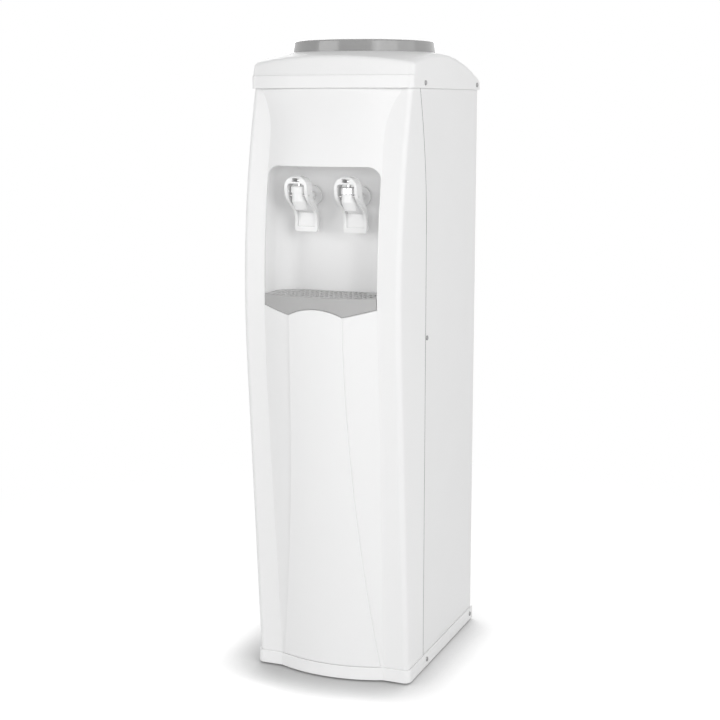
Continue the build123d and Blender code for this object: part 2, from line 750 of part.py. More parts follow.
def dome_block(side, front, back, low, inset, soft):
    """The cap's plan stood up, cut by the dome and the leaning front, with soft hips."""
    with BuildPart() as block:
        with BuildSketch(Plane.XY.offset(low)):
            with BuildLine():
                cap_section(side, front, back)
            make_face()
        extrude(amount=DOME_SEAT - inset - low)
        add(front_waste(inset), mode=Mode.SUBTRACT)
        with Locations((0, COLLAR_Y, DOME_TOP - DOME_RADIUS)):
            Sphere(DOME_RADIUS - inset, mode=Mode.INTERSECT)
        dome = block.faces().filter_by(GeomType.SPHERE)[0]
        fillet(dome.edges().filter_by(lambda hip: abs(hip.center().Y - COLLAR_Y) > CUT_MARGIN), soft)
    return block.part


OPENING_RADIUS = COLLAR_RADIUS - COLLAR_SEAT
cap_hollow = dome_block(FIT, FRONT_SKIRT - FIT, SHEET_BACK + FIT, CAP_EDGE - OVERCUT, PANEL_WALL, HOLLOW_SOFT)
with BuildPart() as top_cap:
    add(dome_block(SKIRT, 0, BACK_Y, CAP_EDGE, 0, CAP_SOFT))
    add(cap_hollow, mode=Mode.SUBTRACT)
    with BuildSketch(Plane.XY.offset(DOME_SEAT)):
        with Locations((0, COLLAR_Y)):
            Circle(OPENING_RADIUS)
    extrude(amount=-OVERCUT, mode=Mode.SUBTRACT)
    extrude(screw_holes(CAP_SCREW_Z), amount=BODY_WIDTH, both=True, mode=Mode.SUBTRACT)
save(top_cap.part, "top_cap")

# Grey bottle collar with its funnel and neck well, turned about its own axis
COLLAR_LOW = DOME_SEAT + SCREW_FIT
COLLAR_TOP = COLLAR_LOW + COLLAR_HEIGHT
RIM_INNER = COLLAR_RADIUS - COLLAR_DRAFT - COLLAR_RIM
FUNNEL_TOP = COLLAR_TOP - COLLAR_WALL
FUNNEL_LOW = FUNNEL_TOP - FUNNEL_DROP
NECK_TOP = FUNNEL_LOW - COLLAR_WALL
NECK_LOW = NECK_TOP - NECK_LENGTH
NECK_OUTER = NECK_RADIUS + COLLAR_WALL
SPIGOT_OUTER = OPENING_RADIUS - FIT
SPIGOT_INNER = SPIGOT_OUTER - COLLAR_WALL
FUNNEL_FALL = (FUNNEL_TOP - FUNNEL_LOW) / (RIM_INNER - NECK_OUTER)
COLLAR_PLANE = Plane(origin=(0, COLLAR_Y, 0), x_dir=(1, 0, 0), z_dir=(0, -1, 0))


def under_funnel(radius):
    """Height of the funnel's underside at a radius."""
    return FUNNEL_LOW + (radius - NECK_OUTER) * FUNNEL_FALL - COLLAR_WALL


with BuildPart() as bottle_collar:
    with BuildSketch(COLLAR_PLANE) as profile:
        with BuildLine():
            Polyline(
                (COLLAR_RADIUS, COLLAR_LOW),
                (COLLAR_RADIUS - COLLAR_DRAFT, COLLAR_TOP),
                (RIM_INNER, COLLAR_TOP),
                (RIM_INNER, FUNNEL_TOP),
                (NECK_OUTER, FUNNEL_LOW),
                (NECK_RADIUS, NECK_TOP),
                (NECK_RADIUS, NECK_LOW),
                (NECK_OUTER, NECK_LOW),
                (NECK_OUTER, under_funnel(NECK_OUTER)),
                (SPIGOT_INNER, under_funnel(SPIGOT_INNER)),
                (SPIGOT_INNER, COLLAR_LOW - SPIGOT),
                (SPIGOT_OUTER, COLLAR_LOW - SPIGOT),
                (SPIGOT_OUTER, COLLAR_LOW),
                close=True,
            )
        make_face()
    revolve(axis=Axis((0, COLLAR_Y, 0), (0, 0, 1)))
    rim_edges = bottle_collar.edges().filter_by(GeomType.CIRCLE).group_by(Axis.Z)[-1]
    fillet(rim_edges.sort_by(SortBy.RADIUS)[-1], COLLAR_WALL)
    with BuildSketch(Plane.XY.offset(COLLAR_LOW)):
        with Locations((0, COLLAR_Y)):
            Circle(COLLAR_RADIUS - COLLAR_DRAFT - COLLAR_WALL)
            Circle(SPIGOT_OUTER + COLLAR_WALL, mode=Mode.SUBTRACT)
    extrude(amount=COLLAR_TOP - COLLAR_LOW - 2 * COLLAR_WALL, mode=Mode.SUBTRACT)
save(bottle_collar.part, "bottle_collar")

# Push taps, one for room-temperature and one for chilled water
GASKET_Y = ALCOVE_BACK - GASKET_THICK
FLANGE_Y = GASKET_Y - FLANGE_THICK
COLUMN_Y = ALCOVE_BACK - TAP_REACH
LINER_BACK = ALCOVE_BACK + PANEL_WALL
SHANK_END = LINER_BACK + SHANK_LENGTH
TAIL_END = SHANK_END + TAIL_LENGTH
COLUMN_TOP = TAP_HEIGHT + COLUMN_RISE
VALVE_SEAT = TAP_HEIGHT - SEAT_DROP
COLUMN_LOW = VALVE_SEAT + COLUMN_SKIRT
SPOUT_END = TAP_HEIGHT - SPOUT_DROP
BONNET_TOP = COLUMN_TOP + BONNET_HEIGHT
PIVOT_Y = COLUMN_Y - PIVOT_FORWARD
PIVOT_Z = TAP_HEIGHT + PIVOT_RISE
PIN_INNER = (CHAMBER_RADIUS + sqrt(COLUMN_RADIUS**2 - PIVOT_FORWARD**2)) / 2
WEB_LOW = BONNET_TOP + WEB_GAP
WEB_TOP = WEB_LOW + WEB_THICK
HEAD_LOW = WEB_TOP + HEAD_GAP
HEAD_TOP = HEAD_LOW + HEAD_THICK
HOOD_INNER = HEAD_TOP + HOOD_ROOM
HOOD_TOP = HOOD_INNER + HOOD_THICK
SEAL_LOW = VALVE_SEAT + SCREW_FIT
SEAL_TOP = SEAL_LOW + SEAL_HEIGHT
PLUG_LOW = COLUMN_TOP - BONNET_PLUG
ARM_FRONT = PIVOT_Y - ARM_LEAD
ARM_BACK = ARM_FRONT + ARM_DEPTH
PADDLE_REAR = ALCOVE_BACK - PADDLE_BACK
PADDLE_FRONT = PADDLE_REAR - PADDLE_DEPTH
PADDLE_FOOT = TAP_HEIGHT - PADDLE_LOW
BEND_TOP = TAP_HEIGHT + BEND_HIGH
BEND_FOOT = TAP_HEIGHT - BEND_LOW
SLOT_HALF = LEVER_WIDTH / 2 - ARM_WIDTH


def tap_body(x):
    """Tap casting: flange, shank, tail and the upright valve column with its spout."""
    with BuildPart() as body:
        wall_plane = Plane.XZ.offset(-FLANGE_Y)
        with BuildSketch(wall_plane):
            with Locations((x, TAP_HEIGHT)):
                Circle(FLANGE_RADIUS)
        extrude(amount=-FLANGE_THICK)
        fillet(body.edges().group_by(Axis.Y)[0], FLANGE_THICK / 3)
        with BuildSketch(wall_plane):
            with Locations((x, TAP_HEIGHT)):
                Circle(BARREL_RADIUS)
        extrude(amount=FLANGE_Y - COLUMN_Y)
        with BuildSketch(Plane.XZ.offset(-GASKET_Y)):
            with Locations((x, TAP_HEIGHT)):
                Circle(SHANK_RADIUS)
        extrude(amount=GASKET_Y - SHANK_END)
        with BuildSketch(Plane.XZ.offset(-SHANK_END)):
            with Locations((x, TAP_HEIGHT)):
                Circle(TAIL_RADIUS)
        extrude(amount=-TAIL_LENGTH)
        with BuildSketch(Plane.XY.offset(COLUMN_LOW)):
            with Locations((x, COLUMN_Y)):
                Circle(COLUMN_RADIUS)
        extrude(amount=COLUMN_TOP - COLUMN_LOW)
        with BuildSketch(Plane.XY.offset(COLUMN_LOW)):
            with Locations((x, COLUMN_Y)):
                Circle(COLUMN_RADIUS)
        with BuildSketch(Plane.XY.offset(SPOUT_END)):
            with Locations((x, COLUMN_Y + SPOUT_LEAN)):
                Circle(SPOUT_RADIUS)
        loft()
        with BuildSketch(Plane.XY.offset(VALVE_SEAT)):
            with Locations((x, COLUMN_Y)):
                Circle(CHAMBER_RADIUS)
        extrude(amount=COLUMN_TOP - VALVE_SEAT, mode=Mode.SUBTRACT)
        with BuildSketch(Plane.XY.offset(VALVE_SEAT)):
            with Locations((x, COLUMN_Y)):
                Circle(PORT_RADIUS)
        with BuildSketch(Plane.XY.offset(SPOUT_END)):
            with Locations((x, COLUMN_Y + SPOUT_LEAN)):
                Circle(SPOUT_RADIUS - COLLAR_WALL)
        loft(mode=Mode.SUBTRACT)
        with BuildSketch(Plane.XZ.offset(-TAIL_END)):
            with Locations((x, TAP_HEIGHT)):
                Circle(TAIL_BORE)
        extrude(amount=TAIL_END - COLUMN_Y, mode=Mode.SUBTRACT)
        with BuildSketch(Plane.YZ.offset(x)):
            with Locations((PIVOT_Y, PIVOT_Z)):
                Circle(PIN_RADIUS)
        extrude(amount=COLUMN_RADIUS, both=True, mode=Mode.SUBTRACT)
    return body.part


def tap_bonnet(x):
    """Screwed ring that closes the valve column round the stem."""
    with BuildPart() as bonnet:
        with BuildSketch(Plane.XY.offset(PLUG_LOW)):
            with Locations((x, COLUMN_Y)):
                Circle(CHAMBER_RADIUS - SCREW_FIT)
        extrude(amount=BONNET_PLUG)
        with BuildSketch(Plane.XY.offset(COLUMN_TOP)):
            with Locations((x, COLUMN_Y)):
                Circle(BONNET_RADIUS)
        extrude(amount=BONNET_HEIGHT)
        fillet(bonnet.edges().group_by(Axis.Z)[-1], COLLAR_WALL)
        with BuildSketch(Plane.XY.offset(PLUG_LOW)):
            with Locations((x, COLUMN_Y)):
                Circle(STEM_RADIUS + STEM_FIT)
        extrude(amount=BONNET_TOP - PLUG_LOW, mode=Mode.SUBTRACT)
    return bonnet.part


def tap_gasket(x):
    """Soft washer between the tap's flange and the alcove wall."""
    with BuildPart() as gasket:
        with BuildSketch(Plane.XZ.offset(-GASKET_Y)):
            with Locations((x, TAP_HEIGHT)):
                Circle(FLANGE_RADIUS - GASKET_INSET)
                Circle(SHANK_RADIUS + SCREW_FIT, mode=Mode.SUBTRACT)
        extrude(amount=-GASKET_THICK)
    return gasket.part


def tap_nut(x):
    """Hexagon nut on the shank behind the alcove wall."""
    with BuildPart() as nut:
        with BuildSketch(Plane.XZ.offset(-LINER_BACK)):
            with Locations((x, TAP_HEIGHT)):
                RegularPolygon(NUT_FLATS / 2, 6, major_radius=False)
                Circle(SHANK_RADIUS + SCREW_FIT, mode=Mode.SUBTRACT)
        extrude(amount=-NUT_THICK)
    return nut.part


def tap_lever(x):
    """Cup lever: a hooded fork round the column, bent back into a paddle."""
    with BuildPart() as lever:
        with BuildSketch(Plane.YZ.offset(x)) as side_view:
            with BuildLine():
                Polyline(
                    (ARM_FRONT, HOOD_TOP),
                    (ARM_FRONT, BEND_TOP),
                    (PADDLE_FRONT, BEND_FOOT),
                    (PADDLE_FRONT, PADDLE_FOOT),
                    (PADDLE_REAR, PADDLE_FOOT),
                    (PADDLE_REAR, BEND_FOOT + PADDLE_DEPTH / 2),
                    (ARM_BACK, BEND_TOP),
                    (ARM_BACK, HOOD_TOP),
                    close=True,
                )
            make_face()
            fillet(side_view.vertices().group_by(Axis.Y)[-1], LEVER_FILLET)
            bends = side_view.vertices().filter_by_position(Axis.Y, PADDLE_FOOT + FIT, BEND_TOP + FIT)
            fillet(bends, LEVER_BEND)
        extrude(amount=LEVER_WIDTH / 2, both=True)
        with BuildSketch(Plane.XZ) as front_view:
            with BuildLine():
                Polyline(
                    (x - LEVER_WIDTH / 2, PADDLE_FOOT),
                    (x - LEVER_WIDTH / 2, HOOD_TOP),
                    (x + LEVER_WIDTH / 2, HOOD_TOP),
                    (x + LEVER_WIDTH / 2, PADDLE_FOOT),
                    close=True,
                )
            make_face()
            fillet(front_view.vertices().group_by(Axis.Y)[-1], HOOD_CORNER)
            fillet(front_view.vertices().group_by(Axis.Y)[0], PADDLE_CORNER)
        extrude(amount=BODY_DEPTH, both=True, mode=Mode.INTERSECT)
        with BuildSketch(Plane.XZ) as slot:
            with BuildLine():
                Polyline(
                    (x - SLOT_HALF, BEND_FOOT),
                    (x - SLOT_HALF, WEB_LOW),
                    (x + SLOT_HALF, WEB_LOW),
                    (x + SLOT_HALF, BEND_FOOT),
                    close=True,
                )
            make_face()
            fillet(slot.vertices().group_by(Axis.Y)[-1], SLOT_CORNER)
            with Locations((x, (WEB_TOP + HOOD_INNER) / 2)):
                Rectangle(2 * (HEAD_RADIUS + POCKET_GAP), HOOD_INNER - WEB_TOP)
        extrude(amount=BODY_DEPTH, both=True, mode=Mode.SUBTRACT)
        with BuildSketch(Plane.XZ.offset(-PADDLE_REAR + PADDLE_WEB)):
            with Locations((x, (BEND_FOOT + PADDLE_FOOT + PADDLE_LIP) / 2)):
                Rectangle(2 * SLOT_HALF, BEND_FOOT - PADDLE_FOOT - PADDLE_LIP)
        extrude(amount=BODY_DEPTH, mode=Mode.SUBTRACT)
        with BuildSketch(Plane.XY.offset(WEB_LOW)):
            with Locations((x, COLUMN_Y + ARM_DEPTH / 2)):
                Rectangle(2 * (STEM_RADIUS + NOTCH_GAP), ARM_DEPTH + 2 * (STEM_RADIUS + 2 * NOTCH_GAP))
        extrude(amount=WEB_THICK, mode=Mode.SUBTRACT)
        with BuildSketch(Plane.YZ.offset(x)):
            with Locations((PIVOT_Y, PIVOT_Z)):
                Circle(PIN_RADIUS + PIN_FIT)
        extrude(amount=LEVER_WIDTH, both=True, mode=Mode.SUBTRACT)
    return lever.part


def lever_pins(x):
    """Two trunnion pins pressed into the column, one for each arm."""
    with BuildPart() as pins:
        for side in CABINET_SIDES.values():
            with BuildSketch(Plane.YZ.offset(x + side * PIN_INNER)):
                with Locations((PIVOT_Y, PIVOT_Z)):
                    Circle(PIN_RADIUS)
            extrude(amount=side * (LEVER_WIDTH / 2 - PIN_INNER))
    return pins.part


def valve_stem(x):
    """Round stem with the head that the lever lifts."""
    with BuildPart() as stem:
        with BuildSketch(Plane.XY.offset(SEAL_LOW + COLLAR_WALL)):
            with Locations((x, COLUMN_Y)):
                Circle(STEM_RADIUS)
        extrude(amount=HEAD_LOW - SEAL_LOW - COLLAR_WALL)
        with BuildSketch(Plane.XY.offset(HEAD_LOW)):
            with Locations((x, COLUMN_Y)):
                Circle(HEAD_RADIUS)
        extrude(amount=HEAD_THICK)
        chamfer(stem.edges().group_by(Axis.Z)[-1], HEAD_EDGE)
    return stem.part


def valve_seal(x):
    """Soft plug on the foot of the stem."""
    with BuildPart() as seal:
        with BuildSketch(Plane.XY.offset(SEAL_LOW)):
            with Locations((x, COLUMN_Y)):
                Circle(SEAL_RADIUS)
        extrude(amount=SEAL_HEIGHT)
        with BuildSketch(Plane.XY.offset(SEAL_LOW + COLLAR_WALL)):
            with Locations((x, COLUMN_Y)):
                Circle(STEM_RADIUS + SCREW_FIT)
        extrude(amount=SEAL_HEIGHT, mode=Mode.SUBTRACT)
    return seal.part


def coil_arcs(x, y, radius, start, pitch, half_turns, first):
    """Draws a coil as tilted half circles that meet with level tangents."""
    reach = sqrt(radius**2 + (pitch / 4) ** 2)
    for half in range(half_turns):
        side = first if half % 2 == 0 else -first
        low = start + half * pitch / 2
        ThreePointArc(
            (x + side * radius, y, low),
            (x, y + side * reach, low + pitch / 4),
            (x - side * radius, y, low + pitch / 2),
        )


def least_gap(route, radius, turns):
    """Least space between the turns of a coil, measured on points along it."""
    count = COIL_SAMPLES * (turns + 1)
    points = [route @ (step / count) for step in range(count + 1)]
    apart = COIL_SAMPLES // 2
    pairs = [(a, b) for i, a in enumerate(points) for b in points[i + apart :]]
    return round(min((a - b).length for a, b in pairs) - 2 * radius, 2)


def valve_spring(x):
    """Return spring between the bonnet and the seal."""
    room = PLUG_LOW - SEAL_TOP - 2 * SPRING_WIRE - 2 * SCREW_FIT
    pitch = room / SPRING_TURNS
    start = SEAL_TOP + SPRING_WIRE + SCREW_FIT
    with BuildPart() as spring:
        with BuildLine() as route:
            coil_arcs(x, COLUMN_Y, SPRING_RADIUS, start, pitch, 2 * SPRING_TURNS, 1)
        with BuildSketch(Plane(origin=route.line @ 0, z_dir=route.line % 0)):
            Circle(SPRING_WIRE)
        sweep()
    print("valve spring, least gap", least_gap(route.line, SPRING_WIRE, SPRING_TURNS))
    return spring.part


for name, x in TAP_SIDES.items():
    save(tap_body(x), f"tap_body_{name}")
    save(tap_bonnet(x), f"tap_bonnet_{name}")
    save(tap_gasket(x), f"tap_gasket_{name}")
    save(tap_nut(x), f"tap_nut_{name}")
    save(tap_lever(x), f"tap_lever_{name}")
    save(lever_pins(x), f"lever_pins_{name}")
    save(valve_stem(x), f"valve_stem_{name}")
    save(valve_seal(x), f"valve_seal_{name}")
    save(valve_spring(x), f"valve_spring_{name}")

# Water tank with its outlets, lid and baffle
TANK_FLOOR = SHELF_TOP + TANK_STAND
TANK_RIM = NECK_LOW + NECK_DIP - MOUTH_RISE - LID_THICK
FOAM_TOP = TANK_RIM - FOAM_DROP
BAFFLE_LEVEL = TANK_FLOOR + BAFFLE_RISE
NOZZLE_Y = TAIL_END + HOSE_BEND + FIT
NOZZLE_LOW = SHELF_TOP - SHELF_SHEET - NOZZLE_DROP / 2
NOZZLES = [(x, NOZZLE_Y) for x in TAP_SIDES.values()]
STANDPIPE_TOP = BAFFLE_LEVEL + BAFFLE_THICK + STANDPIPE_RISE
MOUTH_RADIUS = NECK_OUTER + MOUTH_GAP

with BuildPart() as reservoir_tank:
    with BuildSketch(Plane.XY.offset(TANK_FLOOR)):
        with Locations((0, COLLAR_Y)):
            Circle(TANK_RADIUS)
    extrude(amount=TANK_RIM - TANK_FLOOR)
    with BuildSketch(Plane.XY.offset(TANK_FLOOR + TANK_WALL)):
        with Locations((0, COLLAR_Y)):
            Circle(TANK_RADIUS - TANK_WALL)
    extrude(amount=TANK_RIM - TANK_FLOOR, mode=Mode.SUBTRACT)
    with BuildSketch(Plane.XY.offset(NOZZLE_LOW)):
        with Locations(*NOZZLES):
            Circle(NOZZLE_RADIUS)
    extrude(amount=TANK_FLOOR - NOZZLE_LOW)
    with BuildSketch(Plane.XY.offset(TANK_FLOOR)):
        with Locations(NOZZLES[0]):
            Circle(NOZZLE_RADIUS)
    extrude(amount=STANDPIPE_TOP - TANK_FLOOR)
    with BuildSketch(Plane.XY.offset(NOZZLE_LOW)):
        with Locations(*NOZZLES):
            Circle(NOZZLE_BORE)
    extrude(amount=STANDPIPE_TOP - NOZZLE_LOW, mode=Mode.SUBTRACT)
save(reservoir_tank.part, "reservoir_tank")

with BuildPart() as tank_lid:
    with BuildSketch(Plane.XY.offset(TANK_RIM)):
        with Locations((0, COLLAR_Y)):
            Circle(TANK_RADIUS + LID_OVERHANG)
    extrude(amount=LID_THICK)
    with BuildSketch(Plane.XY.offset(TANK_RIM + LID_THICK)):
        with Locations((0, COLLAR_Y)):
            Circle(MOUTH_RADIUS + COLLAR_WALL)
    extrude(amount=MOUTH_RISE)
    with BuildSketch(Plane.XY.offset(TANK_RIM)):
        with Locations((0, COLLAR_Y)):
            Circle(MOUTH_RADIUS)
    extrude(amount=LID_THICK + MOUTH_RISE, mode=Mode.SUBTRACT)
save(tank_lid.part, "tank_lid")

with BuildPart() as tank_baffle:
    with BuildSketch(Plane.XY.offset(BAFFLE_LEVEL)):
        with Locations((0, COLLAR_Y)):
            Circle(TANK_RADIUS - TANK_WALL - FIT)
            with PolarLocations(BAFFLE_RING, BAFFLE_HOLE_COUNT):
                Circle(NOZZLE_RADIUS, mode=Mode.SUBTRACT)
        with Locations(NOZZLES[0]):
            Circle(NOZZLE_RADIUS + FIT, mode=Mode.SUBTRACT)
    extrude(amount=BAFFLE_THICK)
save(tank_baffle.part, "tank_baffle")

# Evaporator wound on the tank, with both ends led out at the back
COIL_RADIUS = TANK_RADIUS + COIL_TUBE + SCREW_FIT
COIL_START = TANK_FLOOR + COIL_LOW_MARGIN
COIL_END = TANK_RIM - COIL_HIGH_MARGIN
COIL_PITCH = (COIL_END - COIL_START) / (COIL_TURNS + 0.5)
RISER_Y = RETURN_Y - RISER_SETBACK
COIL_TAIL_Y = RISER_Y - COIL_TAIL
with BuildPart() as evaporator_coil:
    with BuildLine() as route:
        Line((-COIL_RADIUS, COIL_TAIL_Y, COIL_START), (-COIL_RADIUS, COLLAR_Y, COIL_START))
        coil_arcs(0, COLLAR_Y, COIL_RADIUS, COIL_START, COIL_PITCH, 2 * COIL_TURNS + 1, -1)
        Line((COIL_RADIUS, COLLAR_Y, COIL_END), (COIL_RADIUS, COIL_TAIL_Y, COIL_END))
    with BuildSketch(Plane(origin=(-COIL_RADIUS, COIL_TAIL_Y, COIL_START), z_dir=(0, -1, 0))):
        Circle(COIL_TUBE)
    sweep()
save(evaporator_coil.part, "evaporator_coil")
print("evaporator coil, least gap", least_gap(route.line, COIL_TUBE, COIL_TURNS))

with BuildPart() as tank_insulation:
    with BuildSketch(Plane.XY.offset(SHELF_TOP)):
        with Locations((0, COLLAR_Y)):
            RectangleRounded(2 * FOAM_HALF, 2 * FOAM_HALF, FOAM_CORNER)
    extrude(amount=FOAM_TOP - SHELF_TOP)
    with BuildSketch(Plane.XY.offset(TANK_FLOOR)):
        with Locations((0, COLLAR_Y)):
            Circle(COIL_RADIUS + COIL_TUBE + FIT)
        for side in CABINET_SIDES.values():
            with Locations((side * COIL_RADIUS, COLLAR_Y + FOAM_HALF / 2)):
                Rectangle(2 * (COIL_TUBE + COIL_GROOVE), FOAM_HALF)
    extrude(amount=FOAM_TOP - TANK_FLOOR, mode=Mode.SUBTRACT)
    with BuildSketch(Plane.XY.offset(SHELF_TOP)):
        with Locations(*NOZZLES):
            Circle(NOZZLE_RADIUS + FIT)
    extrude(amount=TANK_FLOOR - SHELF_TOP, mode=Mode.SUBTRACT)
save(tank_insulation.part, "tank_insulation")

SHELF_FRONT = COLLAR_Y - FOAM_HALF
SHELF_REAR = COLLAR_Y + FOAM_HALF + SHELF_FLANGE / 2
SHELF_HALF = HALF_BODY - SHEET - FIT
with BuildPart() as tank_shelf:
    with BuildSketch(Plane.XZ.offset(-SHELF_FRONT)):
        with BuildLine():
            Polyline(
                (-SHELF_HALF, SHELF_TOP),
                (SHELF_HALF, SHELF_TOP),
                (SHELF_HALF, SHELF_TOP - SHELF_FLANGE),
                (SHELF_HALF - SHELF_SHEET, SHELF_TOP - SHELF_FLANGE),
                (SHELF_HALF - SHELF_SHEET, SHELF_TOP - SHELF_SHEET),
                (SHELF_SHEET - SHELF_HALF, SHELF_TOP - SHELF_SHEET),
                (SHELF_SHEET - SHELF_HALF, SHELF_TOP - SHELF_FLANGE),
                (-SHELF_HALF, SHELF_TOP - SHELF_FLANGE),
                close=True,
            )
        make_face()
    extrude(amount=SHELF_FRONT - SHELF_REAR)
    with BuildSketch(Plane.XY.offset(SHELF_TOP)):
        with Locations(*NOZZLES):
            Circle(NOZZLE_RADIUS + HOSE_WALL + SHELF_HOLE_GAP)
    extrude(amount=-SHELF_SHEET, mode=Mode.SUBTRACT)
    with BuildSketch(Plane.XY.offset(SHELF_TOP - SHELF_FLANGE)):
        for side in CABINET_SIDES.values():
            with Locations((side * SHELF_HALF, SHELF_FRONT)):
                Rectangle(2 * (PANEL_WALL + SHELF_NOTCH), 2 * (SEAM_Y - SHELF_FRONT + SHELF_NOTCH))
    extrude(amount=SHELF_FLANGE, mode=Mode.SUBTRACT)
save(tank_shelf.part, "tank_shelf")

HOSE_INNER = NOZZLE_RADIUS + HOSE_FIT
for name, x in TAP_SIDES.items():
    hose_route = [
        (x, NOZZLE_Y, NOZZLE_LOW + HOSE_GRIP),
        (x, NOZZLE_Y, TAP_HEIGHT),
        (x, TAIL_END - HOSE_GRIP, TAP_HEIGHT),
    ]
    with BuildPart() as hose:
        add(tube_along(hose_route, HOSE_BEND, HOSE_INNER + HOSE_WALL))
        add(tube_along(hose_route, HOSE_BEND, HOSE_INNER), mode=Mode.SUBTRACT)
    save(hose.part, f"hose_{name}")

# Rear cover and crossbar, two shallow pans between the folded edges
PAN_HALF = RETURN_X - FIT
PAN_Y = RETURN_Y
COVER_LOW = CONDENSER_TOP + COVER_GAP
THERMOSTAT_X = RETURN_X - THERMOSTAT_INSET
THERMOSTAT_Z = COVER_LOW + THERMOSTAT_RISE
GLAND_X = GLAND_INSET - RETURN_X


def rear_pan(low, high):
    """A sheet pan whose lips lie against the folds of the side sheets."""
    with BuildPart() as pan:
        with BuildSketch(Plane.XY.offset(low)):
            with BuildLine():
                Polyline(
                    (-PAN_HALF, PAN_Y + COVER_LIP),
                    (-PAN_HALF, PAN_Y),
                    (PAN_HALF, PAN_Y),
                    (PAN_HALF, PAN_Y + COVER_LIP),
                    (PAN_HALF - SHEET, PAN_Y + COVER_LIP),
                    (PAN_HALF - SHEET, PAN_Y + SHEET),
                    (SHEET - PAN_HALF, PAN_Y + SHEET),
                    (SHEET - PAN_HALF, PAN_Y + COVER_LIP),
                    close=True,
                )
            make_face()
        extrude(amount=high - low)
    return pan.part


with BuildPart() as rear_cover:
    add(rear_pan(COVER_LOW, CAP_EDGE))
    with BuildSketch(Plane.XZ.offset(-PAN_Y)):
        with Locations((THERMOSTAT_X, THERMOSTAT_Z)):
            Circle(SHAFT_RADIUS + FIT)
        with Locations((0, (COVER_LOW + CAP_EDGE) / 2)):
            with GridLocations(0, LOUVRE_PITCH, 1, LOUVRE_COUNT):
                SlotOverall(LOUVRE_LENGTH, LOUVRE_WIDTH)
    extrude(amount=-SHEET, mode=Mode.SUBTRACT)
save(rear_cover.part, "rear_cover")

GLAND_Z = CROSSBAR_LOW + CROSSBAR_HEIGHT / 2
with BuildPart() as rear_crossbar:
    add(rear_pan(CROSSBAR_LOW, CROSSBAR_LOW + CROSSBAR_HEIGHT))
    with BuildSketch(Plane.XZ.offset(-PAN_Y)):
        with Locations((GLAND_X, GLAND_Z)):
            Circle(GLAND_RADIUS + SCREW_FIT)
    extrude(amount=-SHEET, mode=Mode.SUBTRACT)
save(rear_crossbar.part, "rear_crossbar")

with BuildPart() as cord_gland:
    with BuildSketch(Plane.XZ.offset(-PAN_Y - SHEET)):
        with Locations((GLAND_X, GLAND_Z)):
            Circle(GLAND_RADIUS + GLAND_FLANGE)
    extrude(amount=-GLAND_FLANGE)
    with BuildSketch(Plane.XZ.offset(-PAN_Y - SHEET)):
        with Locations((GLAND_X, GLAND_Z)):
            Circle(GLAND_RADIUS)
    extrude(amount=GLAND_LENGTH)
    with BuildSketch(Plane.XZ.offset(-PAN_Y - SHEET - GLAND_FLANGE)):
        with Locations((GLAND_X, GLAND_Z)):
            Circle(GLAND_BORE)
    extrude(amount=GLAND_LENGTH + GLAND_FLANGE, mode=Mode.SUBTRACT)
save(cord_gland.part, "cord_gland")

with BuildPart() as thermostat:
    with BuildSketch(Plane.XZ.offset(-PAN_Y)):
        with Locations((THERMOSTAT_X, THERMOSTAT_Z)):
            RectangleRounded(THERMOSTAT_WIDTH, THERMOSTAT_HEIGHT, THERMOSTAT_CORNER)
    extrude(amount=THERMOSTAT_DEPTH)
    with BuildSketch(Plane.XZ.offset(-PAN_Y)):
        with Locations((THERMOSTAT_X, THERMOSTAT_Z)):
            Circle(SHAFT_RADIUS)
    extrude(amount=-SHAFT_LENGTH)
save(thermostat.part, "thermostat")

KNOB_Y = PAN_Y + SHEET + KNOB_GAP
with BuildPart() as thermostat_knob:
    with BuildSketch(Plane.XZ.offset(-KNOB_Y)):
        with Locations((THERMOSTAT_X, THERMOSTAT_Z)):
            Circle(KNOB_RADIUS)
            with PolarLocations(KNOB_RADIUS, FLUTE_COUNT):
                Circle(FLUTE_RADIUS, mode=Mode.SUBTRACT)
    extrude(amount=-KNOB_THICK)
    with BuildSketch(Plane.XZ.offset(-KNOB_Y)):
        with Locations((THERMOSTAT_X, THERMOSTAT_Z)):
            Circle(SHAFT_RADIUS + PIN_FIT)
    extrude(amount=-KNOB_BORE, mode=Mode.SUBTRACT)
    with BuildSketch(Plane.XZ.offset(-KNOB_Y - KNOB_THICK)):
        with Locations((THERMOSTAT_X, THERMOSTAT_Z + KNOB_RADIUS / 2)):
            Rectangle(POINTER_WIDTH, POINTER_LENGTH)
    extrude(amount=POINTER_DEPTH, mode=Mode.SUBTRACT)
save(thermostat_knob.part, "thermostat_knob")

# Compressor on its rubber-mounted plate
GROMMET_LOW = BOSS_TOP
PLATE_LOW = GROMMET_LOW + GROMMET_FLANGE
PLATE_TOP = PLATE_LOW + PLATE_THICK
GROMMET_TOP = PLATE_TOP + GROMMET_FLANGE / 2
MOUNT_GRID = (2 * BOSS_X, 2 * BOSS_Y, 2, 2)

with BuildPart() as compressor_plate:
    with BuildSketch(Plane.XY.offset(PLATE_LOW)):
        with Locations((0, COMPRESSOR_Y)):
            RectangleRounded(PLATE_X, PLATE_Y, BOSS_RADIUS)
            with GridLocations(*MOUNT_GRID):
                Circle(GROMMET_NECK + SCREW_FIT, mode=Mode.SUBTRACT)
    extrude(amount=PLATE_THICK)
save(compressor_plate.part, "compressor_plate")

